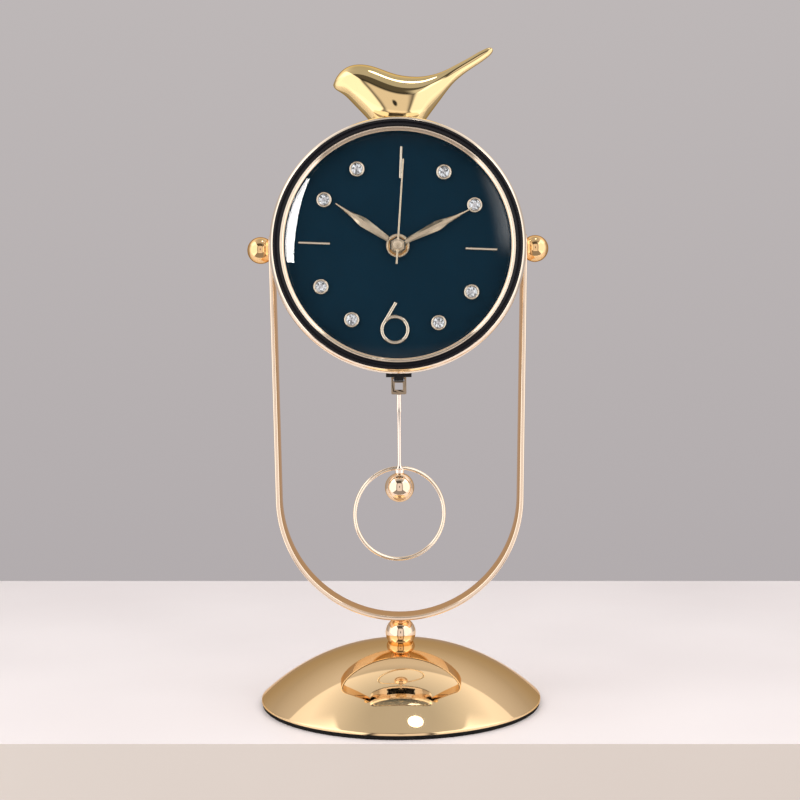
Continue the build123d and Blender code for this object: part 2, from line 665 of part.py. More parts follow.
def movement_housing():
    """Deep tub with a gear chamber, a battery bay, a pendulum chamber and the bush through the dial."""
    half = movement_width / 2 - MOVEMENT_WALL
    tub = Pos(0, 0, movement_rim) * extrude(movement_outline(), movement_front - movement_rim)
    tub -= block(-half, half, bay_top + MOVEMENT_WALL, half, movement_rim, movement_floor)
    tub -= block(-bay_half_length, bay_half_length, bay_bottom, bay_top, movement_rim, movement_floor)
    drive_half = DRIVE_WIDTH / 2 - MOVEMENT_WALL
    tub -= block(
        -drive_half, drive_half, drive_chamber_bottom, drive_chamber_top, movement_rim, movement_floor
    )
    arm_middle = arm_front() - ARM_THICKNESS / 2
    tub -= block(
        -DRIVE_SLOT_WIDTH / 2, DRIVE_SLOT_WIDTH / 2, -2 * drive_bottom, drive_chamber_top,
        arm_middle - DRIVE_SLOT_DEPTH / 2, arm_middle + DRIVE_SLOT_DEPTH / 2,
    )
    tub += rod(BUSH_RADIUS, movement_floor, bush_end)
    tub -= rod(HOUR_PIPE_RADIUS + RUNNING_FIT, movement_rim, bush_end)
    seat = movement_floor + PIN_SEAT
    tub -= Pos(0, gear_distance, 0) * rod(SET_SHAFT_RADIUS + RUNNING_FIT, movement_rim, seat)
    tub -= Pos(0, -swing_drop, 0) * rod(PIN_RADIUS, movement_rim, seat)
    return HEAD * tub


def movement_cover():
    """Back plate of the movement, open over the battery, with bearings for the shafts."""
    plate = Pos(0, 0, movement_back) * extrude(movement_outline(), MOVEMENT_WALL)
    plate -= block(-bay_half_length, bay_half_length, bay_bottom, bay_top, movement_back, movement_rim)
    plate -= Pos(0, gear_distance, 0) * rod(SET_SHAFT_RADIUS + RUNNING_FIT, movement_back, movement_rim)
    bearing_top = movement_rim + MOVEMENT_WALL
    plate += rod(3 * SECOND_ARBOR_RADIUS, movement_rim, bearing_top)
    plate -= rod(SECOND_ARBOR_RADIUS + RUNNING_FIT, movement_rim - MOVEMENT_WALL / 2, bearing_top)
    plate -= Pos(0, -swing_drop, 0) * rod(PIN_RADIUS, movement_back, movement_rim)
    return HEAD * plate


def dial_washer():
    return HEAD * tube(WASHER_RUBBER_RADIUS, BUSH_RADIUS + HOLE_ROOM, movement_front, dial_back)


def dial_nut():
    nut = hexagon(DIAL_NUT_WIDTH, DIAL_STATION, DIAL_STATION + DIAL_NUT_HEIGHT)
    return HEAD * (nut - rod(BUSH_RADIUS, DIAL_STATION, bush_end))


def circuit_board():
    half = movement_width / 2 - MOVEMENT_WALL - SEAT_ROOM
    back = movement_floor - BOARD_THICKNESS
    return HEAD * block(half - BOARD_WIDTH, half, half - BOARD_HEIGHT, half, back, movement_floor)


def motor_coil():
    """Coil of the step motor on its bobbin, lying on the circuit board."""
    half = movement_width / 2 - MOVEMENT_WALL - SEAT_ROOM
    cheek_radius = COIL_RADIUS + COIL_CHEEK_PROUD
    winding = rod(COIL_RADIUS, -COIL_LENGTH / 2, COIL_LENGTH / 2)
    winding += rod(COIL_CORE_RADIUS, -COIL_LENGTH / 2 - 2 * COIL_CHEEK, COIL_LENGTH / 2 + 2 * COIL_CHEEK)
    for end in (-1, 1):
        winding += Pos(0, 0, end * (COIL_LENGTH - COIL_CHEEK) / 2) * Cylinder(cheek_radius, COIL_CHEEK)
    height = movement_floor - BOARD_THICKNESS - cheek_radius
    place = Pos(half - BOARD_WIDTH / 2, half - BOARD_HEIGHT / 2, height)
    return HEAD * place * Rot(0, 90, 0) * winding


def battery_contacts():
    """Two sprung leaves: a flat foot on the end wall of the bay and a bowed tongue towards the battery."""
    free = bay_half_length - BATTERY_LENGTH / 2 - BATTERY_NUB_LENGTH / 2
    leaf = []
    for side in (-1, 1):
        wall = side * bay_half_length
        bow = side * (bay_half_length - free + CONTACT_THICKNESS + SEAT_ROOM)
        low, high = sorted((wall, wall - side * CONTACT_THICKNESS))
        half = CONTACT_WIDTH / 2
        foot = block(low, high, -half, half, battery_axis - BATTERY_RADIUS, battery_axis + BATTERY_RADIUS)
        path = ThreePointArc(
            (wall - side * CONTACT_THICKNESS, battery_axis - half), (bow, battery_axis),
            (wall - side * CONTACT_THICKNESS, battery_axis + half),
        )
        tongue = extrude(Plane.XZ * trace(path, CONTACT_THICKNESS), half / 2, both=True)
        leaf.append(HEAD * Pos(0, -BATTERY_DROP, 0) * (foot + tongue))
    return leaf


def battery():
    """Round cell lying across the movement, with its positive nub to the right."""
    middle = -BATTERY_NUB_LENGTH / 2
    cell = Pos(0, 0, middle) * Cylinder(BATTERY_RADIUS, BATTERY_LENGTH)
    cell = chamfer(cell.edges(), BATTERY_ROOM)
    end = middle + BATTERY_LENGTH / 2
    cell += rod(BATTERY_NUB_RADIUS, end, end + BATTERY_NUB_LENGTH)
    return HEAD * Pos(0, -BATTERY_DROP, battery_axis) * Rot(0, 90, 0) * cell


def rear_cover():
    """Black back plate with a spigot inside the drum and a window over the movement."""
    spigot = case_bore - SEAT_ROOM
    cover = rod(CASE_RADIUS, rear_face, CASE_REAR)
    cover = chamfer(cover.edges().sort_by(Axis.Z)[0], REAR_PLATE_THICKNESS / 3)
    cover += tube(spigot, spigot - REAR_SPIGOT_WIDTH, CASE_REAR, CASE_REAR + REAR_SPIGOT_HEIGHT)
    window = RectangleRounded(window_width, window_width, REAR_WINDOW_ROUND)
    cover -= Pos(0, 0, rear_face) * extrude(window, REAR_PLATE_THICKNESS)
    for place in post_places():
        cover -= place * rod(SCREW_RADIUS + HOLE_ROOM, rear_face, CASE_REAR)
    return HEAD * cover


def rear_screws():
    screw = rod(SCREW_RADIUS, rear_face, CASE_REAR + SCREW_LENGTH - HOLE_ROOM)
    head = rod(SCREW_HEAD_RADIUS, rear_face - SCREW_HEAD_HEIGHT, rear_face)
    screw += fillet(head.edges().sort_by(Axis.Z)[0], SCREW_HEAD_HEIGHT / 2)
    return [HEAD * place * screw for place in post_places()]


def leaf_outline(length, root):
    """A leaf-shaped hand: widest past its middle, drawn in to a slim point."""
    side = [
        (HAND_ROOT_HALF_WIDTH, root),
        (HAND_BELLY_HALF_WIDTH, HAND_BELLY_SHARE * length),
        (HAND_NECK_HALF_WIDTH, HAND_NECK_SHARE * length),
        (HAND_TIP_HALF_WIDTH, length),
    ]
    mirrored = [(-x, y) for x, y in side]
    right = Spline(*side)
    left = Spline(*mirrored)
    return make_face([right, left, Line(side[0], mirrored[0]), Line(side[-1], mirrored[-1])])


def bevelled(outline, length):
    """A hand's blade, flat along its middle and bevelled down to both sides."""
    half = HAND_BELLY_HALF_WIDTH + HAND_SIDE_ROOM
    flat = HAND_FLAT_HALF_WIDTH
    sides = (
        (-half, 0), (half, 0), (half, HAND_EDGE), (flat, HAND_THICKNESS), (-flat, HAND_THICKNESS),
        (-half, HAND_EDGE),
    )
    prism = extrude(Plane.XZ * make_face(Polyline(*sides, close=True)), -length)
    return extrude(outline, HAND_THICKNESS) & prism


def hour_hand():
    blade = bevelled(leaf_outline(HOUR_LENGTH, HOUR_BOSS_RADIUS - HAND_LAP), HOUR_LENGTH)
    boss = Cylinder(HOUR_BOSS_RADIUS, HAND_THICKNESS, align=UP)
    hand = clockwise(HOUR_ANGLE) * (blade + boss)
    return HEAD * Pos(0, 0, hour_level) * (hand - Cylinder(HOUR_PIPE_RADIUS, 4 * HAND_THICKNESS))


def hour_wheel():
    wheel = gear(HOUR_TEETH, hour_wheel_front - GEAR_THICKNESS, hour_wheel_front, 90)
    wheel += rod(HOUR_PIPE_RADIUS, hour_wheel_front - GEAR_THICKNESS, hour_level + HAND_THICKNESS)
    return HEAD * (wheel - rod(HOUR_PIPE_BORE, movement_rim, minute_level))


def minute_hand():
    blade = bevelled(leaf_outline(MINUTE_LENGTH, MINUTE_BOSS_RADIUS - HAND_LAP), MINUTE_LENGTH)
    boss = Cylinder(MINUTE_BOSS_RADIUS, HAND_THICKNESS, align=UP)
    hand = clockwise(MINUTE_ANGLE) * (blade + boss)
    return HEAD * Pos(0, 0, minute_level) * (hand - Cylinder(MINUTE_PIPE_RADIUS, 4 * HAND_THICKNESS))


def minute_arbor():
    pinion = gear(MINUTE_PINION_TEETH, reverser_front - GEAR_THICKNESS, reverser_front, 90)
    pinion += rod(MINUTE_PIPE_RADIUS, reverser_front - GEAR_THICKNESS, minute_top)
    return HEAD * (pinion - rod(MINUTE_PIPE_BORE, movement_rim, minute_top))


def minute_nut():
    nut = hexagon(MINUTE_NUT_WIDTH, minute_level + HAND_THICKNESS, minute_top)
    return HEAD * (nut - rod(MINUTE_PIPE_RADIUS, minute_level, minute_top))


def second_hand():
    """Needle with a rounded tail and a round cap over the arbor."""
    half = SECOND_WIDTH / 2
    tip = SECOND_TIP_SHARE * half
    needle = make_face(Polyline(
        (half, half - SECOND_TAIL), (tip, SECOND_LENGTH), (-tip, SECOND_LENGTH), (-half, half - SECOND_TAIL),
        close=True,
    ))
    needle += Pos(0, half - SECOND_TAIL) * Circle(half)
    hand = extrude(needle, HAND_EDGE) + Cylinder(SECOND_CAP_RADIUS, SECOND_CAP_HEIGHT, align=UP)
    hand = chamfer(hand.faces().sort_by(Axis.Z)[-1].edges(), HAND_EDGE)
    hand -= rod(SECOND_ARBOR_RADIUS, 0, SECOND_CAP_HEIGHT / 2)
    return HEAD * clockwise(SECOND_ANGLE) * Pos(0, 0, second_level) * hand


def second_arbor():
    arbor = rod(SECOND_ARBOR_RADIUS, movement_rim, second_level + SECOND_CAP_HEIGHT / 2)
    wheel = gear(SECOND_WHEEL_TEETH, second_wheel_front - GEAR_THICKNESS, second_wheel_front, 90)
    return HEAD * (arbor + wheel)


def reverser_wheel():
    """Wheel and pinion on one shaft that slows the minute arbor twelve times for the hour wheel."""
    wheel_phase = 180 / REVERSER_TEETH - 90
    pinion_phase = 180 / REVERSER_PINION_TEETH - 90
    train = gear(REVERSER_TEETH, reverser_front - GEAR_THICKNESS, reverser_front, wheel_phase)
    train += gear(REVERSER_PINION_TEETH, reverser_front, hour_wheel_front, pinion_phase)
    shaft_end = movement_back - MOVING_ROOM - SET_KNOB_HEIGHT / 2
    train += rod(SET_SHAFT_RADIUS, shaft_end, movement_floor + PIN_SEAT - HOLE_ROOM)
    return HEAD * Pos(0, gear_distance, 0) * train


def set_knob():
    """Ribbed thumb wheel on the end of the reverser shaft, behind the movement."""
    top = movement_back - MOVING_ROOM
    knob = rod(SET_KNOB_RADIUS - SET_KNOB_RIB, top - SET_KNOB_HEIGHT, top)
    rib = Pos(SET_KNOB_RADIUS - SET_KNOB_RIB, 0, 0) * rod(SET_KNOB_RIB, top - SET_KNOB_HEIGHT, top)
    for k in range(SET_KNOB_RIBS):
        knob += Rot(0, 0, 360 * k / SET_KNOB_RIBS) * rib
    knob -= rod(SET_SHAFT_RADIUS, top - SET_KNOB_HEIGHT / 2, top)
    return HEAD * Pos(0, gear_distance, 0) * knob


def arm_front():
    """Front face of the pendulum arm, just clear of the stirrup that hangs behind it."""
    return STIRRUP_BAR_RADIUS + SEAT_ROOM * 2 + ARM_THICKNESS


def pendulum_arm():
    """Swinging arm from the pin in the movement down to a hook that opens upwards behind it."""
    front = arm_front()
    back = front - ARM_THICKNESS
    half = ARM_WIDTH / 2
    hub = rod(ARM_HUB_RADIUS, movement_rim + MOVING_ROOM, movement_floor - MOVING_ROOM)
    arm = Pos(0, -swing_drop, 0) * hub
    arm += block(-half, half, -hook_drop, -swing_drop, back, front)
    arm += block(
        -CROSS_BAR_WIDTH / 2, CROSS_BAR_WIDTH / 2, -cross_bar_drop - CROSS_BAR_HEIGHT / 2,
        -cross_bar_drop + CROSS_BAR_HEIGHT / 2, back, front,
    )
    lip = -back
    arm += block(-half, half, -hook_drop, HOOK_FLOOR - hook_drop, lip - HOOK_LIP, front)
    arm += block(-half, half, -hook_drop, HOOK_FLOOR + HOOK_LIP_HEIGHT - hook_drop, lip - HOOK_LIP, lip)
    bore = rod(PIN_RADIUS + RUNNING_FIT, movement_rim, movement_floor)
    return HEAD * (arm - Pos(0, -swing_drop, 0) * bore)


def hanger_pin():
    return HEAD * Pos(0, -swing_drop, 0) * rod(PIN_RADIUS, movement_back, movement_floor + PIN_SEAT)


def hanger_magnet():
    back = arm_front() - ARM_THICKNESS
    place = Pos(0, -magnet_drop, 0)
    return HEAD * place * rod(MAGNET_RADIUS, back - MAGNET_THICKNESS, back)


def drive_coil():
    """Coil that keeps the pendulum going, on the back plate behind the magnet."""
    top = arm_front() - ARM_THICKNESS - MAGNET_THICKNESS - DRIVE_COIL_GAP
    radius = DRIVE_COIL_SHARE * drive_chamber_room
    return HEAD * Pos(0, -magnet_drop, 0) * tube(radius, DRIVE_COIL_BORE_SHARE * radius, movement_rim, top)


# Heights of the pendulum, counted from the head's axis
bar_y = HOOK_FLOOR - hook_drop + RUNNING_FIT + STIRRUP_BAR_RADIUS
cross_top_y = -hook_drop - 2 * RUNNING_FIT
eye_top_y = cross_top_y - STIRRUP_CROSS
eye_bottom_y = eye_top_y - STIRRUP_EYE_HEIGHT
stirrup_bottom_y = eye_bottom_y - STIRRUP_FOOT
foot_top_y = stirrup_bottom_y - ROD_LENGTH
foot_bottom_y = foot_top_y - ROD_FOOT_HEIGHT
ball_y = foot_bottom_y - sqrt(PENDULUM_BALL_RADIUS**2 - PENDULUM_BALL_SEAT_RADIUS**2)
ring_y = foot_bottom_y + ROD_FOOT_HEIGHT / 2 - PENDULUM_RING_RADIUS


def hanging(part, y):
    """Stands a piece made along Z upright at a height of the pendulum."""
    return Pos(0, 0, pivot_z + y) * part


def stirrup():
    """Stamped plate with two windows, hung by its round top bar."""
    half = STIRRUP_WIDTH / 2
    hook_half = half - STIRRUP_LEG
    plate = Pos(0, (bar_y + stirrup_bottom_y) / 2) * RectangleRounded(
        STIRRUP_WIDTH, bar_y - stirrup_bottom_y, STIRRUP_ROUND
    )
    plate -= Pos(0, (bar_y + cross_top_y) / 2) * Rectangle(2 * hook_half, bar_y - cross_top_y)
    plate -= Pos(0, (eye_top_y + eye_bottom_y) / 2) * Rectangle(STIRRUP_EYE_WIDTH, STIRRUP_EYE_HEIGHT)
    body = extrude(plate, STIRRUP_THICKNESS / 2, both=True)
    body += Pos(0, bar_y, 0) * Rot(0, 90, 0) * Cylinder(STIRRUP_BAR_RADIUS, STIRRUP_WIDTH)
    return HEAD * body


def pendulum_rod():
    """Rod with a crimped sleeve on top and a flared foot that grips the ring."""
    sleeve = hanging(rod(SLEEVE_RADIUS, -SLEEVE_LENGTH, 0), stirrup_bottom_y)
    bar = hanging(rod(ROD_RADIUS, foot_top_y - stirrup_bottom_y, 0), stirrup_bottom_y)
    foot = hanging(turned(
        (0, ROD_FOOT_HEIGHT), (ROD_RADIUS, ROD_FOOT_HEIGHT), (ROD_FOOT_RADIUS, ROD_FOOT_HEIGHT / 3),
        (ROD_FOOT_RADIUS, 0), (0, 0),
    ), foot_bottom_y)
    return sleeve + bar + foot - pendulum_ring()


def pendulum_ring():
    ring = Rot(90, 0, 0) * Torus(PENDULUM_RING_RADIUS, PENDULUM_WIRE_RADIUS)
    return hanging(Rot(0, 0, PENDULUM_RING_ANGLE) * ring, ring_y)


def pendulum_ball():
    seat = foot_bottom_y - ball_y
    ball = Sphere(PENDULUM_BALL_RADIUS) & rod(PENDULUM_BALL_RADIUS, -PENDULUM_BALL_RADIUS, seat)
    return hanging(ball, ball_y)


# Sections of the bird along X: place, height of its back and of its belly above the drum, half width
BIRD_SECTIONS = (
    (-29.9, 21.5, 20.3, 0.5),
    (-29.3, 23.0, 19.3, 1.7),
    (-27.8, 25.5, 18.2, 3.4),
    (-25.0, 28.2, 16.4, 5.6),
    (-20.5, 30.1, 12.0, 8.0),
    (-15.0, 30.2, 6.2, 9.6),
    (-8.0, 28.3, -0.4, 10.7),
    (0.0, 25.5, -2.7, 11.0),
    (8.0, 24.4, -1.2, 10.0),
    (15.0, 24.9, 6.1, 7.6),
    (21.0, 26.6, 14.1, 4.9),
    (27.0, 29.4, 21.6, 3.4),
    (35.0, 33.7, 28.0, 2.6),
    (42.6, 37.7, 33.1, 2.0),
    (44.8, 38.1, 35.0, 1.4),
    (45.6, 37.5, 36.1, 0.7),
)


def bird():
    """Cast bird lofted from beak to tail, seated on the drum, with a rounded tail tip."""
    drum_top = pivot_z + CASE_RADIUS
    sections = []
    for x, back, belly, half_width in BIRD_SECTIONS:
        place = Plane(origin=(x, 0, drum_top + (back + belly) / 2), x_dir=(0, 1, 0), z_dir=(1, 0, 0))
        sections.append(place * Ellipse(half_width, (back - belly) / 2))
    body = loft(sections)
    body -= HEAD * Cylinder(CASE_RADIUS, 4 * CASE_RADIUS)
    return body - Pos(0, 0, pivot_z) * rod(BIRD_SCREW_RADIUS, case_bore, case_bore + BIRD_SCREW_LENGTH)


def bird_screw():
    seat = sqrt(case_bore**2 - BIRD_SCREW_HEAD_RADIUS**2)
    screw = rod(BIRD_SCREW_RADIUS, seat, case_bore + BIRD_SCREW_LENGTH - HOLE_ROOM)
    screw += rod(BIRD_SCREW_HEAD_RADIUS, seat - BIRD_SCREW_HEAD_HEIGHT, seat)
    return Pos(0, 0, pivot_z) * screw


PIECES = {
    "base_mat": base_mat,
    "base_dome": base_dome,
    "base_weight": base_weight,
    "base_washer": base_washer,
    "base_nut": base_nut,
    "neck_stud": neck_stud,
    "neck_ball": neck_ball,
    "u_frame": u_frame,
    "left_knob": lambda: ball_knob(-1),
    "right_knob": lambda: ball_knob(1),
    "pivot_bolts": pivot_bolts,
    "pivot_spacers": pivot_spacers,
    "case_shell": case_shell,
    "bezel_ring": bezel_ring,
    "inner_bezel": inner_bezel,
    "glass_lens": glass_lens,
    "dial": dial,
    "hour_bars": hour_bars,
    "numeral_six": numeral_six,
    "gem_cups": gem_cups,
    "gem_stones": gem_stones,
    "movement_housing": movement_housing,
    "movement_cover": movement_cover,
    "dial_washer": dial_washer,
    "dial_nut": dial_nut,
    "circuit_board": circuit_board,
    "motor_coil": motor_coil,
    "battery_contacts": battery_contacts,
    "battery": battery,
    "rear_cover": rear_cover,
    "rear_screws": rear_screws,
    "hour_hand": hour_hand,
    "hour_wheel": hour_wheel,
    "minute_hand": minute_hand,
    "minute_arbor": minute_arbor,
    "minute_nut": minute_nut,
    "second_hand": second_hand,
    "second_arbor": second_arbor,
    "reverser_wheel": reverser_wheel,
    "set_knob": set_knob,
    "pendulum_arm": pendulum_arm,
    "hanger_pin": hanger_pin,
    "hanger_magnet": hanger_magnet,
    "drive_coil": drive_coil,
    "stirrup": stirrup,
    "pendulum_rod": pendulum_rod,
    "pendulum_ring": pendulum_ring,
    "pendulum_ball": pendulum_ball,
    "bird": bird,
    "bird_screw": bird_screw,
}

os.makedirs("parts", exist_ok=True)
for name, make in PIECES.items():
    solids = make()
    shape = Compound(solids) if isinstance(solids, list) else solids
    export_step(shape, f"parts/{name}.step")
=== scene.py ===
import json
from cmath import phase
from math import acos, asin, atan2, cos, dist, pi, radians, sin, sqrt, tan

import bmesh
import bpy
from mathutils import Euler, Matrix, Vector


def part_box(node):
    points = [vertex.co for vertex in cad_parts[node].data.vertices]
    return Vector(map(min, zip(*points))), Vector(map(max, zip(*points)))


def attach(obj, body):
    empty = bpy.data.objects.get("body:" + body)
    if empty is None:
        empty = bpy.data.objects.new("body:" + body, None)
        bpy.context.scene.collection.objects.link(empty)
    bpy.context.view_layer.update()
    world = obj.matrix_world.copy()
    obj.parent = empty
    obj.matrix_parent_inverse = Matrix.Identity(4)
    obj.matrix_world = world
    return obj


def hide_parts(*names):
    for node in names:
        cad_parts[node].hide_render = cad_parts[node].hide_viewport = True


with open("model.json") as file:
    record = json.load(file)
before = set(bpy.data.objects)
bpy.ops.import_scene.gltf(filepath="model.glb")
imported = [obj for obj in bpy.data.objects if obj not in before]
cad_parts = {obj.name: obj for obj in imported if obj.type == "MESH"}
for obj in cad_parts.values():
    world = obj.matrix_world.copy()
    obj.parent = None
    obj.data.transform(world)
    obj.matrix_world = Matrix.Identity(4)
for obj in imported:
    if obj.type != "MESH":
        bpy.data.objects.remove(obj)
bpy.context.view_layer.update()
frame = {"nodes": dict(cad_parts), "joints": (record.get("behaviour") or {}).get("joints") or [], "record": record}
MM = 0.001

# Angle in degrees between two faces above which their edge shows as a line
SHARP = 38.0
CUT_SHARP = 30.0


def low_of(node):
    """Lowest corner of a solid in millimetres."""
    return [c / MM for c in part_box(node)[0]]


def high_of(node):
    """Highest corner of a solid in millimetres."""
    return [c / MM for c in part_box(node)[1]]


# Sizes of the clock in millimetres, from the solids where they show them. In the head, a station is a
# distance forward of the pivots
DOME_RADIUS = high_of("base_dome")[0]
DOME_SEAT_Z = high_of("base_dome")[2]
DOME_SEAT_RADIUS = 5.8
DOME_BORE = 2.6
DOME_RIM_HEIGHT = 0.9
DOME_RIM_ROUND = 0.8
DOME_WALL = 1.0
MAT_RADIUS = high_of("base_mat")[0]
MAT_TOP = low_of("base_dome")[2]
MAT_ROUND = 0.35
NECK_BALL_RADIUS = high_of("neck_ball")[0]

FRAME_BOTTOM = low_of("u_frame")[2]
FRAME_WIDTH = 2 * high_of("u_frame")[1]
FRAME_THICKNESS = 2.0
FRAME_EDGE_ROUND = 0.7
FRAME_LEAN = radians(1.27)
FRAME_ARM_RISE = 116.8
FRAME_TIP_HALF = 0.02
KNOB_RADIUS = 6.32
KNOB_SEAT = 4.9
KNOB_GAP = 0.35

PIVOT_Z = next(row["pos_m"][2] for row in frame["joints"] if row["name"] == "case_tilt") / MM
SEAT_ROOM = 0.1
CASE_RADIUS = high_of("rear_cover")[0]
CASE_WALL = 0.8
CASE_REAR = -high_of("case_shell")[1]
CASE_FRONT = -low_of("case_shell")[1]
LEDGE_THICKNESS = 0.7
DIAL_RADIUS = high_of("dial")[0]
DIAL_STATION = -low_of("dial")[1]
DIAL_FLOOR = -high_of("dial")[1]
DIAL_BORE = 3.85
DIAL_ANGLE = 2.4
# Front of the inner bezel, as distances in from its outside and back from its front: a round bead, a step
# down to a valley and a low second bead at the bore
BEZEL_BEAD = ((0.0, 0.5), (0.52, 0.0), (1.05, 0.5))
BEZEL_VALLEY = ((1.05, 0.8), (1.68, 1.1))
BEZEL_SECOND_BEAD = ((1.7, 1.15), (1.88, 0.95), (2.05, 1.2))

neck_z = DOME_SEAT_Z + sqrt(NECK_BALL_RADIUS**2 - DOME_SEAT_RADIUS**2)
frame_arc_z = PIVOT_Z - FRAME_ARM_RISE
frame_inner_radius = frame_arc_z - FRAME_THICKNESS - FRAME_BOTTOM
frame_inner_x = frame_inner_radius / cos(FRAME_LEAN) + FRAME_ARM_RISE * tan(FRAME_LEAN)
case_bore = CASE_RADIUS - CASE_WALL
shoulder = DIAL_FLOOR - LEDGE_THICKNESS
bezel_bore = DIAL_RADIUS - BEZEL_SECOND_BEAD[-1][0]
rear_face = -high_of("rear_cover")[1]


# Points and meshes

def around(centre, radius, start, end, count):
    """Points on a circle about a centre, between two angles."""
    angles = [start + (end - start) * k / count for k in range(count + 1)]
    return [(centre[0] + radius * cos(a), centre[1] + radius * sin(a)) for a in angles]


def arc(start, middle, end, count):
    """Points on the circle through three points, from the first to the last."""
    a, b, c = (complex(*point) for point in (start, middle, end))
    w = (c - a) / (b - a)
    centre = a + (b - a) * (w - abs(w) ** 2) / (2j * w.imag)
    first, half, last = (phase(point - centre) for point in (a, b, c))
    turn = (last - first) % (2 * pi)
    if (half - first) % (2 * pi) > turn:
        turn -= 2 * pi
    return around((centre.real, centre.imag), abs(a - centre), first, first + turn, count)


def rounded(points, radius, count=5):
    """A closed outline with each corner rounded, but for those that are nearly straight."""
    straight, most = radians(172), 0.45
    out = []
    n = len(points)
    for k in range(n):
        before, here, after = (Vector(points[(k + s) % n]) for s in (-1, 0, 1))
        u, v = before - here, after - here
        angle = u.angle(v)
        if angle > straight:
            out.append(tuple(here))
            continue
        reach = min(radius / tan(angle / 2), most * u.length, most * v.length)
        start, end = here + u.normalized() * reach, here + v.normalized() * reach
        for step in range(count + 1):
            t = step / count
            out.append(tuple((1 - t) ** 2 * start + 2 * t * (1 - t) * here + t * t * end))
    return out


def square(half, radius, count=10):
    """Outline of a square about the axis with round corners."""
    return rounded([(-half, -half), (half, -half), (half, half), (-half, half)], radius, count)


def through(rows, steps):
    """Rows of numbers on a natural cubic spline through the given rows, some steps for each span."""
    spans = [dist(a, b) for a, b in zip(rows, rows[1:])]
    n = len(rows)
    columns = []
    for values in zip(*rows):
        slopes = [(values[k + 1] - values[k]) / spans[k] for k in range(n - 1)]
        share, rest = [0.0] * n, [0.0] * n
        for k in range(1, n - 1):
            pivot = 2 * (spans[k - 1] + spans[k]) - spans[k - 1] * share[k - 1]
            share[k] = spans[k] / pivot
            rest[k] = (6 * (slopes[k] - slopes[k - 1]) - spans[k - 1] * rest[k - 1]) / pivot
        bend = [0.0] * n
        for k in range(n - 2, 0, -1):
            bend[k] = rest[k] - share[k] * bend[k + 1]
        column = [values[0]]
        for k in range(n - 1):
            for step in range(1, steps + 1):
                b = step / steps
                a = 1 - b
                curl = ((a**3 - a) * bend[k] + (b**3 - b) * bend[k + 1]) * spans[k] ** 2 / 6
                column.append(a * values[k] + b * values[k + 1] + curl)
        columns.append(column)
    return list(zip(*columns))


def make_object(name, verts, faces, sharp=SHARP):
    """A mesh object from points in millimetres, smooth but for its sharp edges."""
    mesh = bpy.data.meshes.new(name)
    mesh.from_pydata([tuple(c * MM for c in v) for v in verts], [], faces)
    bm = bmesh.new()
    bm.from_mesh(mesh)
    bmesh.ops.remove_doubles(bm, verts=bm.verts, dist=1e-7)
    finish_mesh(bm, mesh, sharp)
    return link_mesh(name, mesh)


def finish_mesh(bm, mesh, sharp):
    """Turns all faces outwards, marks the sharp edges and writes the mesh."""
    bmesh.ops.recalc_face_normals(bm, faces=bm.faces)
    limit = radians(sharp)
    for face in bm.faces:
        face.smooth = True
    for edge in bm.edges:
        edge.smooth = len(edge.link_faces) == 2 and edge.calc_face_angle(0.0) < limit
    bm.to_mesh(mesh)
    bm.free()


def link_mesh(name, mesh):
    """An object with the given mesh, in the scene."""
    obj = bpy.data.objects.new(name, mesh)
    bpy.context.scene.collection.objects.link(obj)
    return obj


def upright(point):
    """The clock's own frame, as it is."""
    return point


def on_head(point):
    """From the head's frame, x right, y up and z forward, to the clock's frame."""
    x, y, z = point
    return x, -z, PIVOT_Z + y


def turned_on_head(angle, level, radius=0.0):
    """A place on the head turned clockwise seen from the front, whose y points outwards from a radius."""
    a = -radians(angle)

    def place(point):
        x, y, z = point
        y += radius
        return on_head((x * cos(a) - y * sin(a), x * sin(a) + y * cos(a), z + level))

    return place


def beside(x, y, turn=0.0):
    """A place on the head beside its axis, turned anticlockwise seen from the front."""
    c, s = cos(turn), sin(turn)

    def place(point):
        u, v, w = point
        return on_head((x + c * u - s * v, y + s * u + c * v, w))

    return place


def along_x(y, z, side=1):
    """A place for a turned piece whose axis lies along X at a given depth and height."""
    def place(point):
        return side * point[2], y + point[0], z + point[1]

    return place


def loft(name, rings, loop=False, closed=True, sharp=SHARP):
    """A skin over rings of equally many points, capped at both ends unless the rings form a loop."""
    n, m = len(rings), len(rings[0])
    faces = []
    for k in range(n if loop else n - 1):
        for i in range(m if closed else m - 1):
            j, after = (i + 1) % m, (k + 1) % n
            faces.append([k * m + i, k * m + j, after * m + j, after * m + i])
    if not loop:
        faces.append(list(range(m)))
        faces.append(list(range((n - 1) * m, n * m)))
    return make_object(name, [p for ring in rings for p in ring], faces, sharp)


def lathe(name, outline, segments, place=upright, sharp=SHARP):
    """A solid of revolution about Z from an outline of (radius, height), closed or ending on the axis."""
    rings = []
    for k in range(segments):
        a = 2 * pi * k / segments
        rings.append([place((r * cos(a), r * sin(a), h)) for r, h in outline])
    on_axis = outline[0][0] == 0 and outline[-1][0] == 0
    return loft(name, rings, loop=True, closed=not on_axis, sharp=sharp)


def tube_along(name, path, section, place=upright, loop=False):
    """A section of (side, height) carried along a flat path of (x, y), its height along Z."""
    rings = []
    n = len(path)
    for k, (x, y) in enumerate(path):
        before, after = (path[(k + s) % n if loop else min(max(k + s, 0), n - 1)] for s in (-1, 1))
        dx, dy = after[0] - before[0], after[1] - before[1]
        length = sqrt(dx * dx + dy * dy)
        rings.append([place((x - s * dy / length, y + s * dx / length, h)) for s, h in section])
    return loft(name, rings, loop=loop)


def ball_outline(radius, low, high, centre, count=48):
    """Half outline of a ball on the axis, cut flat at a low and a high station from its centre."""
    skin = around((0.0, centre), radius, asin(low / radius), asin(high / radius), count)
    return [(0.0, centre + low), *[p for p in skin if p[0] > 1e-6], (0.0, centre + high)]


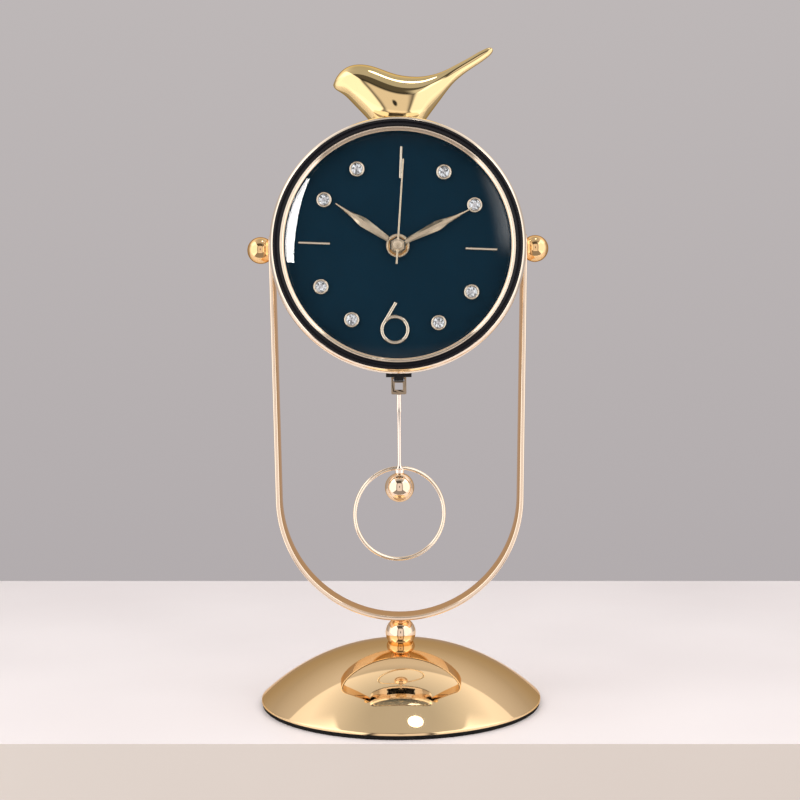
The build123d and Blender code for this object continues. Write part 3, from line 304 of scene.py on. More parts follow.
def cap_ball(inner, outer):
    """Height of the centre, on the axis, and radius of the ball through two points of (radius, height)."""
    drop = inner[1] - outer[1]
    centre = inner[1] - (outer[0] ** 2 - inner[0] ** 2 + drop**2) / (2 * drop)
    return centre, dist(inner, (0.0, centre))


def prism(name, outline, low, high):
    """A straight block on the head with a flat outline, between two stations."""
    return loft(name, [[on_head((x, y, z)) for x, y in outline] for z in (low, high)])


def cut(obj, cutter):
    """Takes one object's space out of another."""
    mod = obj.modifiers.new("cut", "BOOLEAN")
    mod.operation = "DIFFERENCE"
    mod.solver = "EXACT"
    mod.object = cutter
    bpy.context.view_layer.update()
    deps = bpy.context.evaluated_depsgraph_get()
    mesh = bpy.data.meshes.new_from_object(obj.evaluated_get(deps))
    obj.modifiers.clear()
    bm = bmesh.new()
    bm.from_mesh(mesh)
    finish_mesh(bm, mesh, CUT_SHARP)
    obj.data = mesh
    bpy.data.objects.remove(cutter)
    return obj


def joined(name, parts):
    """One object from several."""
    with bpy.context.temp_override(active_object=parts[0], selected_editable_objects=parts):
        bpy.ops.object.join()
    parts[0].name = name
    parts[0].data.name = name
    return parts[0]


# Materials

COAT_ROUGHNESS = 0.06
ROUGHNESS_FINENESS = 2.3
GRAIN_DETAIL = 4.0
GRAIN_DEPTH = 0.0002
NO_TINT = (1.0, 1.0, 1.0)


def add(tree, kind, inputs=(), **settings):
    """The outputs of a new node with its settings, its inputs given as plain values or as other outputs."""
    node = tree.nodes.new("ShaderNode" + kind)
    for name, value in settings.items():
        setattr(node, name, value)
    for key, value in dict(inputs).items():
        if isinstance(value, bpy.types.NodeSocket):
            tree.links.new(value, node.inputs[key])
        else:
            node.inputs[key].default_value = value
    return node.outputs


def new_material(name):
    """An empty node material and its tree."""
    mat = bpy.data.materials.new(name)
    mat.use_nodes = True
    mat.node_tree.nodes.clear()
    return mat, mat.node_tree


def noise(tree, scale, detail=3.0):
    """Noise in the object's own space, in lumps per metre."""
    place = add(tree, "TexCoord")["Object"]
    return add(tree, "TexNoise", {"Vector": place, "Scale": scale, "Detail": detail})["Fac"]


def ramp(tree, source, low, high, start=0.3, end=0.7):
    """Maps a value between a start and an end, such as noise, to a range of values."""
    limits = {"From Min": start, "From Max": end, "To Min": low, "To Max": high}
    return add(tree, "MapRange", {"Value": source, **limits})["Result"]


def blend_colour(tree, share, low, high):
    """Two colours mixed by a share, each of them plain or from another node."""
    low, high = ((*c, 1.0) if isinstance(c, tuple) else c for c in (low, high))
    return add(tree, "Mix", {"Factor": share, "A": low, "B": high}, data_type="RGBA")["Result"]


def combine(tree, operation, first, second):
    """The result of an operation on two values, each of them plain or from another node."""
    return add(tree, "Math", {0: first, 1: second}, operation=operation)[0]


def surface(
    name, low, high, rough, scale, metallic=0.0, edge=NO_TINT, gloss=0.5, coat=0.0, grain=0.0,
    grain_scale=2500.0,
):
    """A material whose colour and roughness vary a little, with an optional fine grain."""
    mat, tree = new_material(name)
    inputs = {
        "Metallic": metallic, "Specular Tint": (*edge, 1.0), "Specular IOR Level": gloss,
        "Coat Weight": coat, "Coat Roughness": COAT_ROUGHNESS,
        "Base Color": blend_colour(tree, ramp(tree, noise(tree, scale), 0.0, 1.0), low, high),
        "Roughness": ramp(tree, noise(tree, ROUGHNESS_FINENESS * scale), *rough),
    }
    if grain:
        height = noise(tree, grain_scale, GRAIN_DETAIL)
        relief = {"Height": height, "Strength": grain, "Distance": GRAIN_DEPTH}
        inputs["Normal"] = add(tree, "Bump", relief)["Normal"]
    shader = add(tree, "BsdfPrincipled", inputs)["BSDF"]
    add(tree, "OutputMaterial", {"Surface": shader})
    return mat


def metal(name, low, high, rough, scale, edge=NO_TINT, grain=0.0):
    """A bare or plated metal, which may take another colour where it is seen at a glance."""
    return surface(name, low, high, rough, scale, metallic=1.0, edge=edge, grain=grain)


GOLD_EDGE = (0.84, 0.65, 0.40)
KNOB_EDGE = (0.62, 0.38, 0.17)
BIRD_EDGE = (0.66, 0.48, 0.22)
STRIP_EDGE = (0.92, 0.62, 0.34)
BIRD_GOLD = metal("bird_plate", (0.84, 0.65, 0.33), (0.87, 0.68, 0.36), (0.03, 0.05), 30.0, BIRD_EDGE)
GOLD = metal("gold_plate", (0.92, 0.68, 0.39), (0.945, 0.705, 0.415), (0.025, 0.045), 30.0, GOLD_EDGE)
KNOB_GOLD = metal("knob_plate", (0.91, 0.62, 0.31), (0.935, 0.645, 0.335), (0.025, 0.045), 30.0, KNOB_EDGE)
BALL = metal("ball_plate", (0.94, 0.745, 0.555), (0.96, 0.765, 0.575), (0.02, 0.04), 60.0, GOLD_EDGE)
ROSE = metal("strip_plate", (0.94, 0.78, 0.61), (0.96, 0.80, 0.63), (0.05, 0.09), 60.0, STRIP_EDGE)
PALE = metal("trim_plate", (0.95, 0.82, 0.66), (0.97, 0.845, 0.69), (0.05, 0.08), 90.0)
HAND = metal("hand_plate", (0.92, 0.77, 0.57), (0.95, 0.80, 0.60), (0.18, 0.23), 150.0)
ROD = metal("rod_plate", (0.95, 0.84, 0.74), (0.97, 0.87, 0.78), (0.05, 0.09), 150.0)
# Painted dark reflection: the stirrup's gold plating is darkened to stand for the dim room in front that it
# mirrors
STIRRUP_PAINTED_REFLECTION = metal("painted_dark_reflection_plate", (0.30, 0.24, 0.17), (0.36, 0.29, 0.21), (0.05, 0.09), 200.0)
BLACK_RING = surface(
    "black_ring", (0.004, 0.004, 0.006), (0.005, 0.005, 0.0075), (0.22, 0.27), 120.0, coat=0.12, gloss=0.2,
)
BLACK = surface(
    "black_plastic", (0.010, 0.010, 0.011), (0.016, 0.016, 0.017), (0.42, 0.56), 90.0, grain=0.35, gloss=0.2,
)
RUBBER = surface(
    "black_rubber", (0.003, 0.003, 0.003), (0.016, 0.015, 0.014), (0.7, 0.9), 1400.0,
    grain=0.8, grain_scale=1600.0, gloss=0.1,
)
IRON = surface(
    "cast_iron", (0.05, 0.05, 0.05), (0.09, 0.085, 0.08), (0.5, 0.7), 200.0, metallic=0.7, grain=0.6,
)
STEEL = metal("plated_steel", (0.55, 0.55, 0.54), (0.66, 0.65, 0.63), (0.2, 0.34), 300.0, grain=0.1)
DIAL = surface(
    "teal_paint", (0.0014, 0.0190, 0.0365), (0.0020, 0.0215, 0.0405), (0.42, 0.48), 40.0, gloss=0.05,
)
STONE = surface("cut_stones", (0.62, 0.63, 0.66), (0.84, 0.85, 0.88), (0.03, 0.06), 700.0, metallic=0.9)
WHITE = surface("white_nylon", (0.66, 0.65, 0.62), (0.74, 0.73, 0.70), (0.4, 0.5), 200.0)
BRASS = metal("turned_brass", (0.60, 0.42, 0.18), (0.70, 0.50, 0.22), (0.2, 0.3), 300.0, grain=0.15)
COPPER = metal("copper_wire", (0.55, 0.20, 0.08), (0.68, 0.27, 0.11), (0.25, 0.35), 400.0, grain=0.4)
BOARD = surface("circuit_board", (0.02, 0.12, 0.04), (0.03, 0.17, 0.06), (0.3, 0.4), 300.0)
CELL = surface(
    "cell_jacket", (0.05, 0.055, 0.06), (0.07, 0.075, 0.08), (0.25, 0.35), 150.0, metallic=0.4, coat=0.3,
)
CELL_BAND = surface(
    "cell_band", (0.60, 0.34, 0.15), (0.68, 0.40, 0.19), (0.22, 0.32), 150.0, metallic=0.8, coat=0.3,
)


def clear_glass(name, tint, shine, steepness, haze, haze_scale):
    """Thin clear glass: what is behind shows through, under a mirror that is faint but for a glance."""
    mat, tree = new_material(name)
    facing = add(tree, "LayerWeight", {"Blend": 0.5})["Facing"]
    glance = ramp(tree, combine(tree, "POWER", facing, steepness), shine, 1.0, 0.0, 1.0)
    pane = add(tree, "BsdfTransparent", {"Color": (*tint, 1.0)})["BSDF"]
    dullness = ramp(tree, noise(tree, haze_scale), 0.0, haze)
    mirror = add(tree, "BsdfGlossy", {"Roughness": dullness})["BSDF"]
    shader = add(tree, "MixShader", {"Fac": glance, 1: pane, 2: mirror})["Shader"]
    add(tree, "OutputMaterial", {"Surface": shader})
    return mat


GLASS = clear_glass("clear_glass", (0.975, 0.985, 0.985), 0.034, steepness=5.0, haze=0.012, haze_scale=40.0)

SLOT_MATERIALS = {
    "gold": GOLD, "rose_gold": ROSE, "black_ring": BLACK_RING, "black_plastic": BLACK,
    "black_rubber": RUBBER, "iron": IRON, "steel": STEEL, "clear_glass": GLASS, "teal_dial": DIAL,
    "stones": STONE, "white_plastic": WHITE, "arbor_brass": BRASS, "copper": COPPER, "board": BOARD,
    "cell": CELL,
}
NODE_SLOTS = {row["node"]: row["material_slot"] for row in frame["record"]["subparts"]}
BODY_OF = {node: body for body, nodes in frame["record"]["behaviour"]["bodies"].items() for node in nodes}
for node, obj in frame["nodes"].items():
    obj.data.materials.clear()
    obj.data.materials.append(SLOT_MATERIALS[NODE_SLOTS[node]])


def stand_in(obj, node, material):
    """A finer piece that stands for a solid and rides on its body."""
    obj.data.materials.clear()
    obj.data.materials.append(material)
    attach(obj, BODY_OF[node])
    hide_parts(node)


# Base

def build_base():
    """Spun dome with a rounded rim on the mat, and the ball on its top."""
    rim = (DOME_RADIUS, MAT_TOP + DOME_RIM_HEIGHT)
    seat = (DOME_SEAT_RADIUS, DOME_SEAT_Z)
    ball_z, ball = cap_ball(seat, rim)
    turn_r = rim[0] - DOME_RIM_ROUND
    turn_z = ball_z + sqrt((ball - DOME_RIM_ROUND) ** 2 - turn_r**2)
    lean = atan2(turn_z - ball_z, turn_r)
    skin = around((0.0, ball_z), ball, atan2(seat[1] - ball_z, seat[0]), lean, 64)
    skin += around((turn_r, turn_z), DOME_RIM_ROUND, lean, 0.0, 8)[1:]
    inner_seat = (seat[0], seat[1] - DOME_WALL)
    inner_rim = (rim[0] - DOME_WALL, rim[1] - DOME_RIM_ROUND / 2)
    ball_z, ball = cap_ball(inner_seat, inner_rim)
    steep, flat = (atan2(z - ball_z, r) for r, z in (inner_rim, inner_seat))
    outline = [
        (DOME_BORE, seat[1]), *skin, (rim[0], MAT_TOP), (inner_rim[0], MAT_TOP),
        *around((0.0, ball_z), ball, steep, flat, 32), (DOME_BORE, inner_seat[1]),
    ]
    stand_in(lathe("dome_skin", outline, 320), "base_dome", GOLD)

    edge = around((MAT_RADIUS - MAT_ROUND, MAT_ROUND), MAT_ROUND, -pi / 2, 0.0, 5)
    edge += around((MAT_RADIUS - MAT_ROUND, MAT_TOP - MAT_ROUND), MAT_ROUND, 0.0, pi / 2, 5)
    stand_in(lathe("mat_disc", [(0.0, 0.0), *edge, (0.0, MAT_TOP)], 320), "base_mat", RUBBER)

    bead = ball_outline(NECK_BALL_RADIUS, DOME_SEAT_Z - neck_z, FRAME_BOTTOM - neck_z, neck_z)
    stand_in(lathe("neck_bead", bead, 128), "neck_ball", BALL)


# Frame

def build_frame():
    """Flat strip as sections along its middle line, drawn in to a half round at both ends."""
    middle = frame_inner_radius + FRAME_THICKNESS / 2
    half, thick = FRAME_WIDTH / 2, FRAME_THICKNESS / 2
    arm = (FRAME_ARM_RISE + middle * sin(FRAME_LEAN)) / cos(FRAME_LEAN)
    ends, straights, bends = 24, 40, 160
    stations = []
    for k in range(ends + 1):
        a = pi / 2 * k / ends
        stations.append((arm + half * cos(a), max(half * sin(a), FRAME_TIP_HALF)))
    stations += [(arm * (1 - k / straights), half) for k in range(1, straights + 1)]

    def arm_line(side):
        nx, nz = side * cos(FRAME_LEAN), -sin(FRAME_LEAN)
        return [
            (middle * nx + side * s * sin(FRAME_LEAN), middle * nz + s * cos(FRAME_LEAN), nx, nz, w)
            for s, w in stations
        ]

    line = arm_line(-1)
    for k in range(1, bends):
        a = pi + FRAME_LEAN + (pi - 2 * FRAME_LEAN) * k / bends
        line.append((middle * cos(a), middle * sin(a), cos(a), sin(a), half))
    line += reversed(arm_line(1))
    rings = []
    for x, z, nx, nz, w in line:
        edge = min(FRAME_EDGE_ROUND, 0.9 * w)
        section = rounded([(-w, -thick), (w, -thick), (w, thick), (-w, thick)], edge, 6)
        rings.append([(x + t * nx, y, frame_arc_z + z + t * nz) for y, t in section])
    stand_in(loft("frame_strip", rings, sharp=50.0), "u_frame", ROSE)


def build_knobs():
    """Two balls with a flat seat against the strip."""
    seat_x = frame_inner_x + FRAME_THICKNESS / cos(FRAME_LEAN) + KNOB_GAP
    rise = sqrt(KNOB_RADIUS**2 - KNOB_SEAT**2)
    outline = ball_outline(KNOB_RADIUS, -rise, KNOB_RADIUS, seat_x + rise)
    for name, node, side in (("knob_ball_left", "left_knob", -1), ("knob_ball_right", "right_knob", 1)):
        stand_in(lathe(name, outline, 96, along_x(0.0, PIVOT_Z, side)), node, KNOB_GOLD)


# Head

def build_drum():
    """Thin drum with a rolled lip in front and a slot below for the hanger."""
    lip_radius, lip_bore = high_of("case_shell")[0], CASE_RADIUS + SEAT_ROOM
    belly, crest, web, corner, soft = (58.84, 17.38), 15.0, 1.2, 0.3, 0.2
    slope = web / (lip_radius - CASE_RADIUS)
    lip = arc((lip_bore, CASE_FRONT), belly, (lip_radius, crest), 24)
    outline = [
        (case_bore, shoulder), (lip_bore, shoulder), *lip, (lip_radius, shoulder + corner),
        (lip_radius - corner, shoulder - slope * corner),
        (CASE_RADIUS, shoulder - web), (CASE_RADIUS, CASE_REAR + soft), (CASE_RADIUS - soft, CASE_REAR),
        (case_bore, CASE_REAR),
    ]
    shell = lathe("drum_shell", outline, 320, on_head, CUT_SHARP)
    half, depth, reach = 21.0, 7.5, -80.0
    slot = prism("slot", [(-half, reach), (half, reach), (half, 0.0), (-half, 0.0)], -depth, depth)
    stand_in(cut(shell, slot), "case_shell", PALE)


def build_bezels():
    """Black ring with a slanted ridge, a groove and a bevelled edge, and the beaded bezel inside it."""
    ledge_width, ridge_width, ridge_drop, ridge_slant = 4.1, 1.1, 0.45, 0.4
    groove_width, groove_depth, bevel, soft = 0.75, 0.35, 0.4, 0.12
    front, bore = -low_of("bezel_ring")[1], DIAL_RADIUS + SEAT_ROOM
    ledge, edge = bore - ledge_width, bore + ridge_width
    ridge = front - ridge_drop
    groove = ridge - groove_depth
    ring = [
        (ledge, shoulder), (ledge, DIAL_FLOOR), (bore, DIAL_FLOOR), (bore, ridge - ridge_slant),
        (edge, ridge), (edge + groove_width / 3, groove), (edge + 2 * groove_width / 3, groove),
        (edge + groove_width, front), (CASE_RADIUS - bevel, front), (CASE_RADIUS, front - bevel),
        (CASE_RADIUS, shoulder),
    ]
    ring = rounded(ring, soft, 4)
    stand_in(lathe("black_ring", ring, 320, on_head, sharp=50.0), "bezel_ring", BLACK_RING)

    drop, flange_thickness, tube_wall = 0.3, 1.6, 0.9
    front = CASE_FRONT - drop
    flange, tube = front - flange_thickness, DIAL_RADIUS - tube_wall
    bead, valley, second = (
        [(DIAL_RADIUS - r, front - back) for r, back in rows]
        for rows in (BEZEL_BEAD, BEZEL_VALLEY, BEZEL_SECOND_BEAD)
    )
    bezel = [
        (DIAL_RADIUS, DIAL_STATION), *arc(*bead, 12), *valley, *arc(*second, 8), (bezel_bore, flange),
        (tube, flange), (tube, DIAL_STATION),
    ]
    stand_in(lathe("bezel_bead", bezel, 320, on_head, sharp=50.0), "inner_bezel", PALE)


def build_lens():
    """Domed glass of even thickness with a flat rim."""
    thickness, power, steps = 1.4, 3.0, 72
    rim, back, top = high_of("glass_lens")[0], -high_of("glass_lens")[1], -low_of("glass_lens")[1]
    face = back + thickness
    shares = [k / steps for k in range(steps + 1)]
    swell = [(bezel_bore * share, (top - face) * (1 - share**power)) for share in shares]
    outside = [(r, face + h) for r, h in swell]
    inside = [(r, back + h) for r, h in swell]
    outline = [*outside, (rim, face), (rim, back), *reversed(inside)]
    lens = lathe("lens_dome", outline, 384, on_head, sharp=30.0)
    stand_in(lens, "glass_lens", GLASS)
    return lens


def build_dial():
    """Painted disc with a hole for the arbors."""
    plate = [
        (DIAL_BORE, DIAL_FLOOR), (DIAL_RADIUS, DIAL_FLOOR), (DIAL_RADIUS, DIAL_STATION),
        (DIAL_BORE, DIAL_STATION),
    ]
    stand_in(lathe("dial_plate", plate, 256, on_head), "dial", DIAL)


# Figures and stones on the dial

DIAL_HOURS = 12
BAR_HOURS = (0, 3, 9)
STONE_HOURS = (1, 2, 4, 5, 7, 8, 10, 11)
STONE_CIRCLE = 40.3
STONE_RADIUS = 2.62
STONE_GIRDLE = 1.45
STONE_PEAK = 0.52
# Tiers of a stone's crown from its peak outwards: corners, share of its radius, heights above its girdle
STONE_TIERS = (
    (6, 0.34, (0.60, 0.44)), (12, 0.66, (0.26, 0.50)), (12, 0.97, (0.10, 0.10)), (12, 1.0, (0.0, 0.0)),
)


def half_round(width, height, count=10):
    """A low half-round section standing on its flat side."""
    angles = [pi * k / count for k in range(count + 1)]
    return [(-width / 2 * cos(a), height * sin(a) ** 0.5) for a in angles]


def on_dial(hour, radius):
    """A place on the dial at an hour, whose y points outwards from a radius."""
    return turned_on_head(DIAL_ANGLE + 360 / DIAL_HOURS * hour, DIAL_STATION, radius)


def build_figures():
    """Three bars and the figure 6, a ring with a straight stem, all of half-round wire."""
    inner, outer, width, height = 31.5, 46.1, 1.3, 0.9
    radius, top, wire, turns, steps = 6.0, 12.5, 1.7, 96, 8
    middle = (inner + outer) / 2
    path = [(0.0, inner - middle + (outer - inner) * k / steps) for k in range(steps + 1)]
    section = half_round(width, height)
    bars = [tube_along(f"bar_{hour}", path, section, on_dial(hour, middle)) for hour in BAR_HOURS]
    stand_in(joined("dial_bars", bars), "hour_bars", PALE)

    touch = acos(radius / top)
    angles = [2 * pi * k / turns for k in range(turns)]
    ring = [(radius * sin(a), radius * cos(a)) for a in angles]
    start, end = Vector((-radius * sin(touch), radius * cos(touch))), Vector((0.0, top))
    stem = [tuple(start.lerp(end, k / steps)) for k in range(steps + 1)]
    section, place = half_round(wire, height), on_dial(0, -middle)
    six = [tube_along("six_ring", ring, section, place, loop=True)]
    six.append(tube_along("six_stem", stem, section, place))
    stand_in(joined("figure_six", six), "numeral_six", PALE)


def build_stones():
    """Round cups with a rolled brim, each with a cut stone in it."""
    radius, bore, height, floor, lip, brim = 3.6, 2.7, 1.7, 0.4, 0.3, 0.48
    roll = around((radius - brim, height - brim), brim, 0.0, 0.75 * pi, 9)
    wall = [(0.0, 0.0), (radius, 0.0), *roll, (bore, height - lip), (bore, floor), (0.0, floor)]
    cups, stones = [], []
    for hour in STONE_HOURS:
        place = on_dial(hour, STONE_CIRCLE)
        cups.append(lathe(f"cup_{hour}", wall, 48, place))
        stones.append(cut_stone(f"stone_{hour}", place, floor))
    stand_in(joined("stone_cups", cups), "gem_cups", PALE)
    stand_in(joined("cut_stones", stones), "gem_stones", STONE)


def cut_stone(name, place, floor):
    """A foil-backed stone whose crown is cut into many small facets that lean in turn."""
    verts, faces, starts = [(0.0, 0.0, STONE_GIRDLE + STONE_PEAK)], [], []
    for count, share, heights in STONE_TIERS:
        starts.append(len(verts))
        for k in range(count):
            a, r = 2 * pi * (k + 0.25) / count, share * STONE_RADIUS
            verts.append((r * cos(a), r * sin(a), STONE_GIRDLE + heights[k % 2]))
    base = len(verts)
    verts += [(x, y, floor) for x, y, _ in verts[starts[-1]:]]
    first, second, third, fourth = starts
    inner, outer = STONE_TIERS[0][0], STONE_TIERS[1][0]
    for k in range(inner):
        after = (k + 1) % inner
        left, middle, right = 2 * k, 2 * k + 1, (2 * k + 2) % outer
        faces.append([0, first + k, first + after])
        faces.append([first + k, second + left, second + middle])
        faces.append([first + k, second + middle, first + after])
        faces.append([first + after, second + middle, second + right])
    for k in range(outer):
        after = (k + 1) % outer
        faces.append([second + k, third + k, third + after])
        faces.append([second + k, third + after, second + after])
        faces.append([third + k, fourth + k, fourth + after, third + after])
        faces.append([fourth + k, base + k, base + after, fourth + after])
    faces.append([base + k for k in range(outer)])
    return make_object(name, [place(v) for v in verts], faces, sharp=1.0)


# Hands

HAND_THICKNESS = 0.6
HAND_EDGE = 0.15
HAND_FLAT = 0.7
HAND_FLAT_SHARE = 0.55
BOSS_SOFT = 0.12
# Hour and minute hand: turn from 12, root and length of the blade; radius, bore, rim and dish of the boss
LEAF_HANDS = (
    ("hour", -55.6, 4.2, 34.7, (5.45, 2.55, 0.55, 1.3)),
    ("minute", 64.0, 2.2, 36.8, (3.2, 1.8, 0.4, 0.4)),
)
# Half widths of the leaf along its length, as shares of the length and millimetres
LEAF = (
    (0.0, 0.95), (0.12, 1.12), (0.35, 1.75), (0.5, 2.15), (0.57, 2.22), (0.66, 1.55), (0.75, 1.05),
    (0.87, 0.72), (1.0, 0.36),
)


def leaf(name, place, root, length):
    """A leaf-shaped blade, flat along its middle and bevelled to both sides."""
    rings = []
    for y, w in through([(share * length, half) for share, half in LEAF], 10):
        if y < root:
            continue
        flat = min(HAND_FLAT, HAND_FLAT_SHARE * w)
        section = [
            (-w, 0.0), (w, 0.0), (w, HAND_EDGE), (flat, HAND_THICKNESS), (-flat, HAND_THICKNESS),
            (-w, HAND_EDGE),
        ]
        rings.append([place((x, y, z)) for x, z in section])
    return loft(name, rings, sharp=8.0)


def boss(name, place, radius, bore, rim, dish):
    """The round eye of a hand, dished inside a narrow raised rim."""
    outline = [
        (bore, 0.0), (radius, 0.0), (radius, HAND_THICKNESS - BOSS_SOFT),
        (radius - BOSS_SOFT, HAND_THICKNESS), (radius - rim, HAND_THICKNESS),
        (radius - rim - dish, HAND_EDGE), (bore, HAND_EDGE),
    ]
    return lathe(name, outline, 96, place, sharp=12.0)


def build_leaf_hands():
    """Hour and minute hand, each a blade on its boss."""
    for name, angle, root, length, eye in LEAF_HANDS:
        place = turned_on_head(angle, -high_of(f"{name}_hand")[1])
        parts = [leaf(f"{name}_blade", place, root, length), boss(f"{name}_boss", place, *eye)]
        stand_in(joined(f"{name}_leaf", parts), f"{name}_hand", HAND)


def build_hub_nut():
    """Hexagonal nut with a bevelled front on the minute arbor."""
    width, bevel, bore = 7.2, 0.8, 1.8
    low, high = -high_of("minute_nut")[1], -low_of("minute_nut")[1]
    corner = width / 2 / cos(pi / 6)
    outline = ((bore, low), (corner, low), (corner, high - bevel), (corner - bevel, high), (bore, high))
    turns = [pi / 6 + pi / 3 * k for k in range(6)]
    rings = [[on_head((r * cos(a), r * sin(a), z)) for a in turns] for r, z in outline]
    stand_in(loft("hub_nut", rings, loop=True, sharp=20.0), "minute_nut", HAND)


def build_second_hand():
    """Slender needle with a tail, under a round cap."""
    angle, tail, length, width, height, taper = 4.0, 8.8, 39.6, 0.9, 0.25, 0.2
    cap_radius, cap_height, soft = 2.2, 1.5, 0.35
    place, steps = turned_on_head(angle, -high_of("second_hand")[1]), 24
    rings = []
    for k in range(steps + 1):
        y = -tail + (tail + length) * k / steps
        w = width * (1 - taper * max(0.0, y) / length)
        rings.append([place((s * w, y, h)) for s, h in half_round(1.0, height, 6)])
    edge = around((cap_radius - soft, cap_height - soft), soft, 0.0, pi / 2, 6)
    cap = lathe("second_cap", [(0.0, 0.0), (cap_radius, 0.0), *edge, (0.0, cap_height)], 64, place)
    stand_in(joined("second_sweep", [loft("second_needle", rings), cap]), "second_hand", HAND)


# Pendulum

def soften(bm, edges, size, segments):
    """Rounds some edges of a mesh by a size in millimetres."""
    bmesh.ops.bevel(bm, geom=edges, offset=size * MM, segments=segments, affect="EDGES", profile=0.5)


def build_stirrup():
    """Stamped plate with two windows and softened edges, under a round bar."""
    half, bottom, top = high_of("stirrup")[0], low_of("stirrup")[2], high_of("stirrup")[2]
    leg, foot, eye, eye_half, cross, depth = 1.0, 2.2, 3.3, 1.9, 0.8, 0.6
    bar, corner, soft, near = 0.75, 0.6, 0.14, 1e-7
    bar_z = top - bar
    xs = (-half, leg - half, -eye_half, eye_half, half - leg, half)
    zs = (bottom, bottom + foot, bottom + foot + eye, bottom + foot + eye + cross, bar_z)
    full_cells = ((1, 1, 1, 1, 1), (1, 1, 0, 1, 1), (1, 1, 1, 1, 1), (1, 0, 0, 0, 1))
    bm = bmesh.new()
    grid = [[bm.verts.new((x * MM, -depth * MM, z * MM)) for x in xs] for z in zs]
    cells = []
    for j, row in enumerate(full_cells):
        for i, full in enumerate(row):
            if full:
                corners = (grid[j][i], grid[j][i + 1], grid[j + 1][i + 1], grid[j + 1][i])
                cells.append(bm.faces.new(corners))
    grown = bmesh.ops.extrude_face_region(bm, geom=cells, use_keep_orig=True)
    moved = [g for g in grown["geom"] if isinstance(g, bmesh.types.BMVert)]
    bmesh.ops.translate(bm, verts=moved, vec=(0.0, 2 * depth * MM, 0.0))
    bmesh.ops.delete(bm, geom=[v for v in bm.verts if not v.link_faces])
    bmesh.ops.recalc_face_normals(bm, faces=bm.faces)
    flat = [e for e in bm.edges if len(e.link_faces) == 2 and e.calc_face_angle(0.0) < radians(1)]
    bmesh.ops.dissolve_edges(bm, edges=flat)

    def at_corner(place):
        return abs(place.z - bottom * MM) < near and abs(abs(place.x) - half * MM) < near

    soften(bm, [e for e in bm.edges if all(at_corner(v.co) for v in e.verts)], corner, 6)
    soften(bm, [e for e in bm.edges if e.calc_face_angle(0.0) > radians(40)], soft, 3)
    mesh = bpy.data.meshes.new("stirrup_plate")
    finish_mesh(bm, mesh, SHARP)
    plate = link_mesh("stirrup_plate", mesh)
    end = around((bar - soft, half - soft), soft, 0.0, pi / 2, 4)
    outline = [(0.0, -half), *[(r, -h) for r, h in reversed(end)], *end, (0.0, half)]
    rail = lathe("stirrup_bar", outline, 48, along_x(0.0, bar_z))
    # The stirrup takes the darkened gold, a painted dark reflection of the dim room in front
    stand_in(joined("stirrup_stamping", [plate, rail]), "stirrup", STIRRUP_PAINTED_REFLECTION)


def build_pendulum():
    """Rod with a sleeve above and a flared foot, the wire ring at its foot and the ball below."""
    rod_radius, rod_length = 0.9, 32.3
    sleeve_radius, sleeve_length, bevel, slope = 1.15, 8.5, 0.15, 0.2
    foot_radius, foot_height, foot_bevel = 2.3, 5.2, 0.2
    flare_radius, flare_drop = 1.35, 2.0
    top = low_of("stirrup")[2]
    sleeve_end, foot_top = top - sleeve_length, top - rod_length
    foot_bottom = foot_top - foot_height
    shoulder_z = foot_bottom + foot_height / 3
    flare = arc((rod_radius, foot_top), (flare_radius, foot_top - flare_drop), (foot_radius, shoulder_z), 10)
    rod = [
        (0.0, top), (sleeve_radius - bevel, top), (sleeve_radius, top - bevel),
        (sleeve_radius, sleeve_end + slope), (rod_radius, sleeve_end - slope), *flare,
        (foot_radius, foot_bottom + foot_bevel), (foot_radius - foot_bevel, foot_bottom), (0.0, foot_bottom),
    ]
    stand_in(lathe("rod_turning", rod, 64), "pendulum_rod", ROD)

    radius, wire, sunk, angle = 21.55, 0.95, 2.6, radians(12.0)
    ring_z = foot_bottom + sunk - radius

    def standing(point):
        x, y, z = point
        return x * cos(angle) - z * sin(angle), x * sin(angle) + z * cos(angle), ring_z + y

    circle = around((0.0, 0.0), radius, 0.0, 2 * pi, 256)[:-1]
    section = [(-s, h) for s, h in around((0.0, 0.0), wire, 0.0, 2 * pi, 32)[:-1]]
    stand_in(tube_along("ring_wire", circle, section, standing, loop=True), "pendulum_ring", PALE)

    ball, seat = 6.95, 2.25
    rise = sqrt(ball**2 - seat**2)
    outline = ball_outline(ball, -ball, rise, foot_bottom - rise)
    stand_in(lathe("bob_ball", outline, 128), "pendulum_ball", BALL)


# Back

SCREW_RADIUS = 1.1
SCREW_ROOM = 0.2
SCREW_INSET = 5.0
SCREW_TURNS = (0.2, 0.95, 1.4, 0.55)


def screw_places():
    """The four places of the rear screws, on a circle inside the drum."""
    return around((0.0, 0.0), case_bore - SCREW_INSET, pi / 4, 7 * pi / 4, 3)


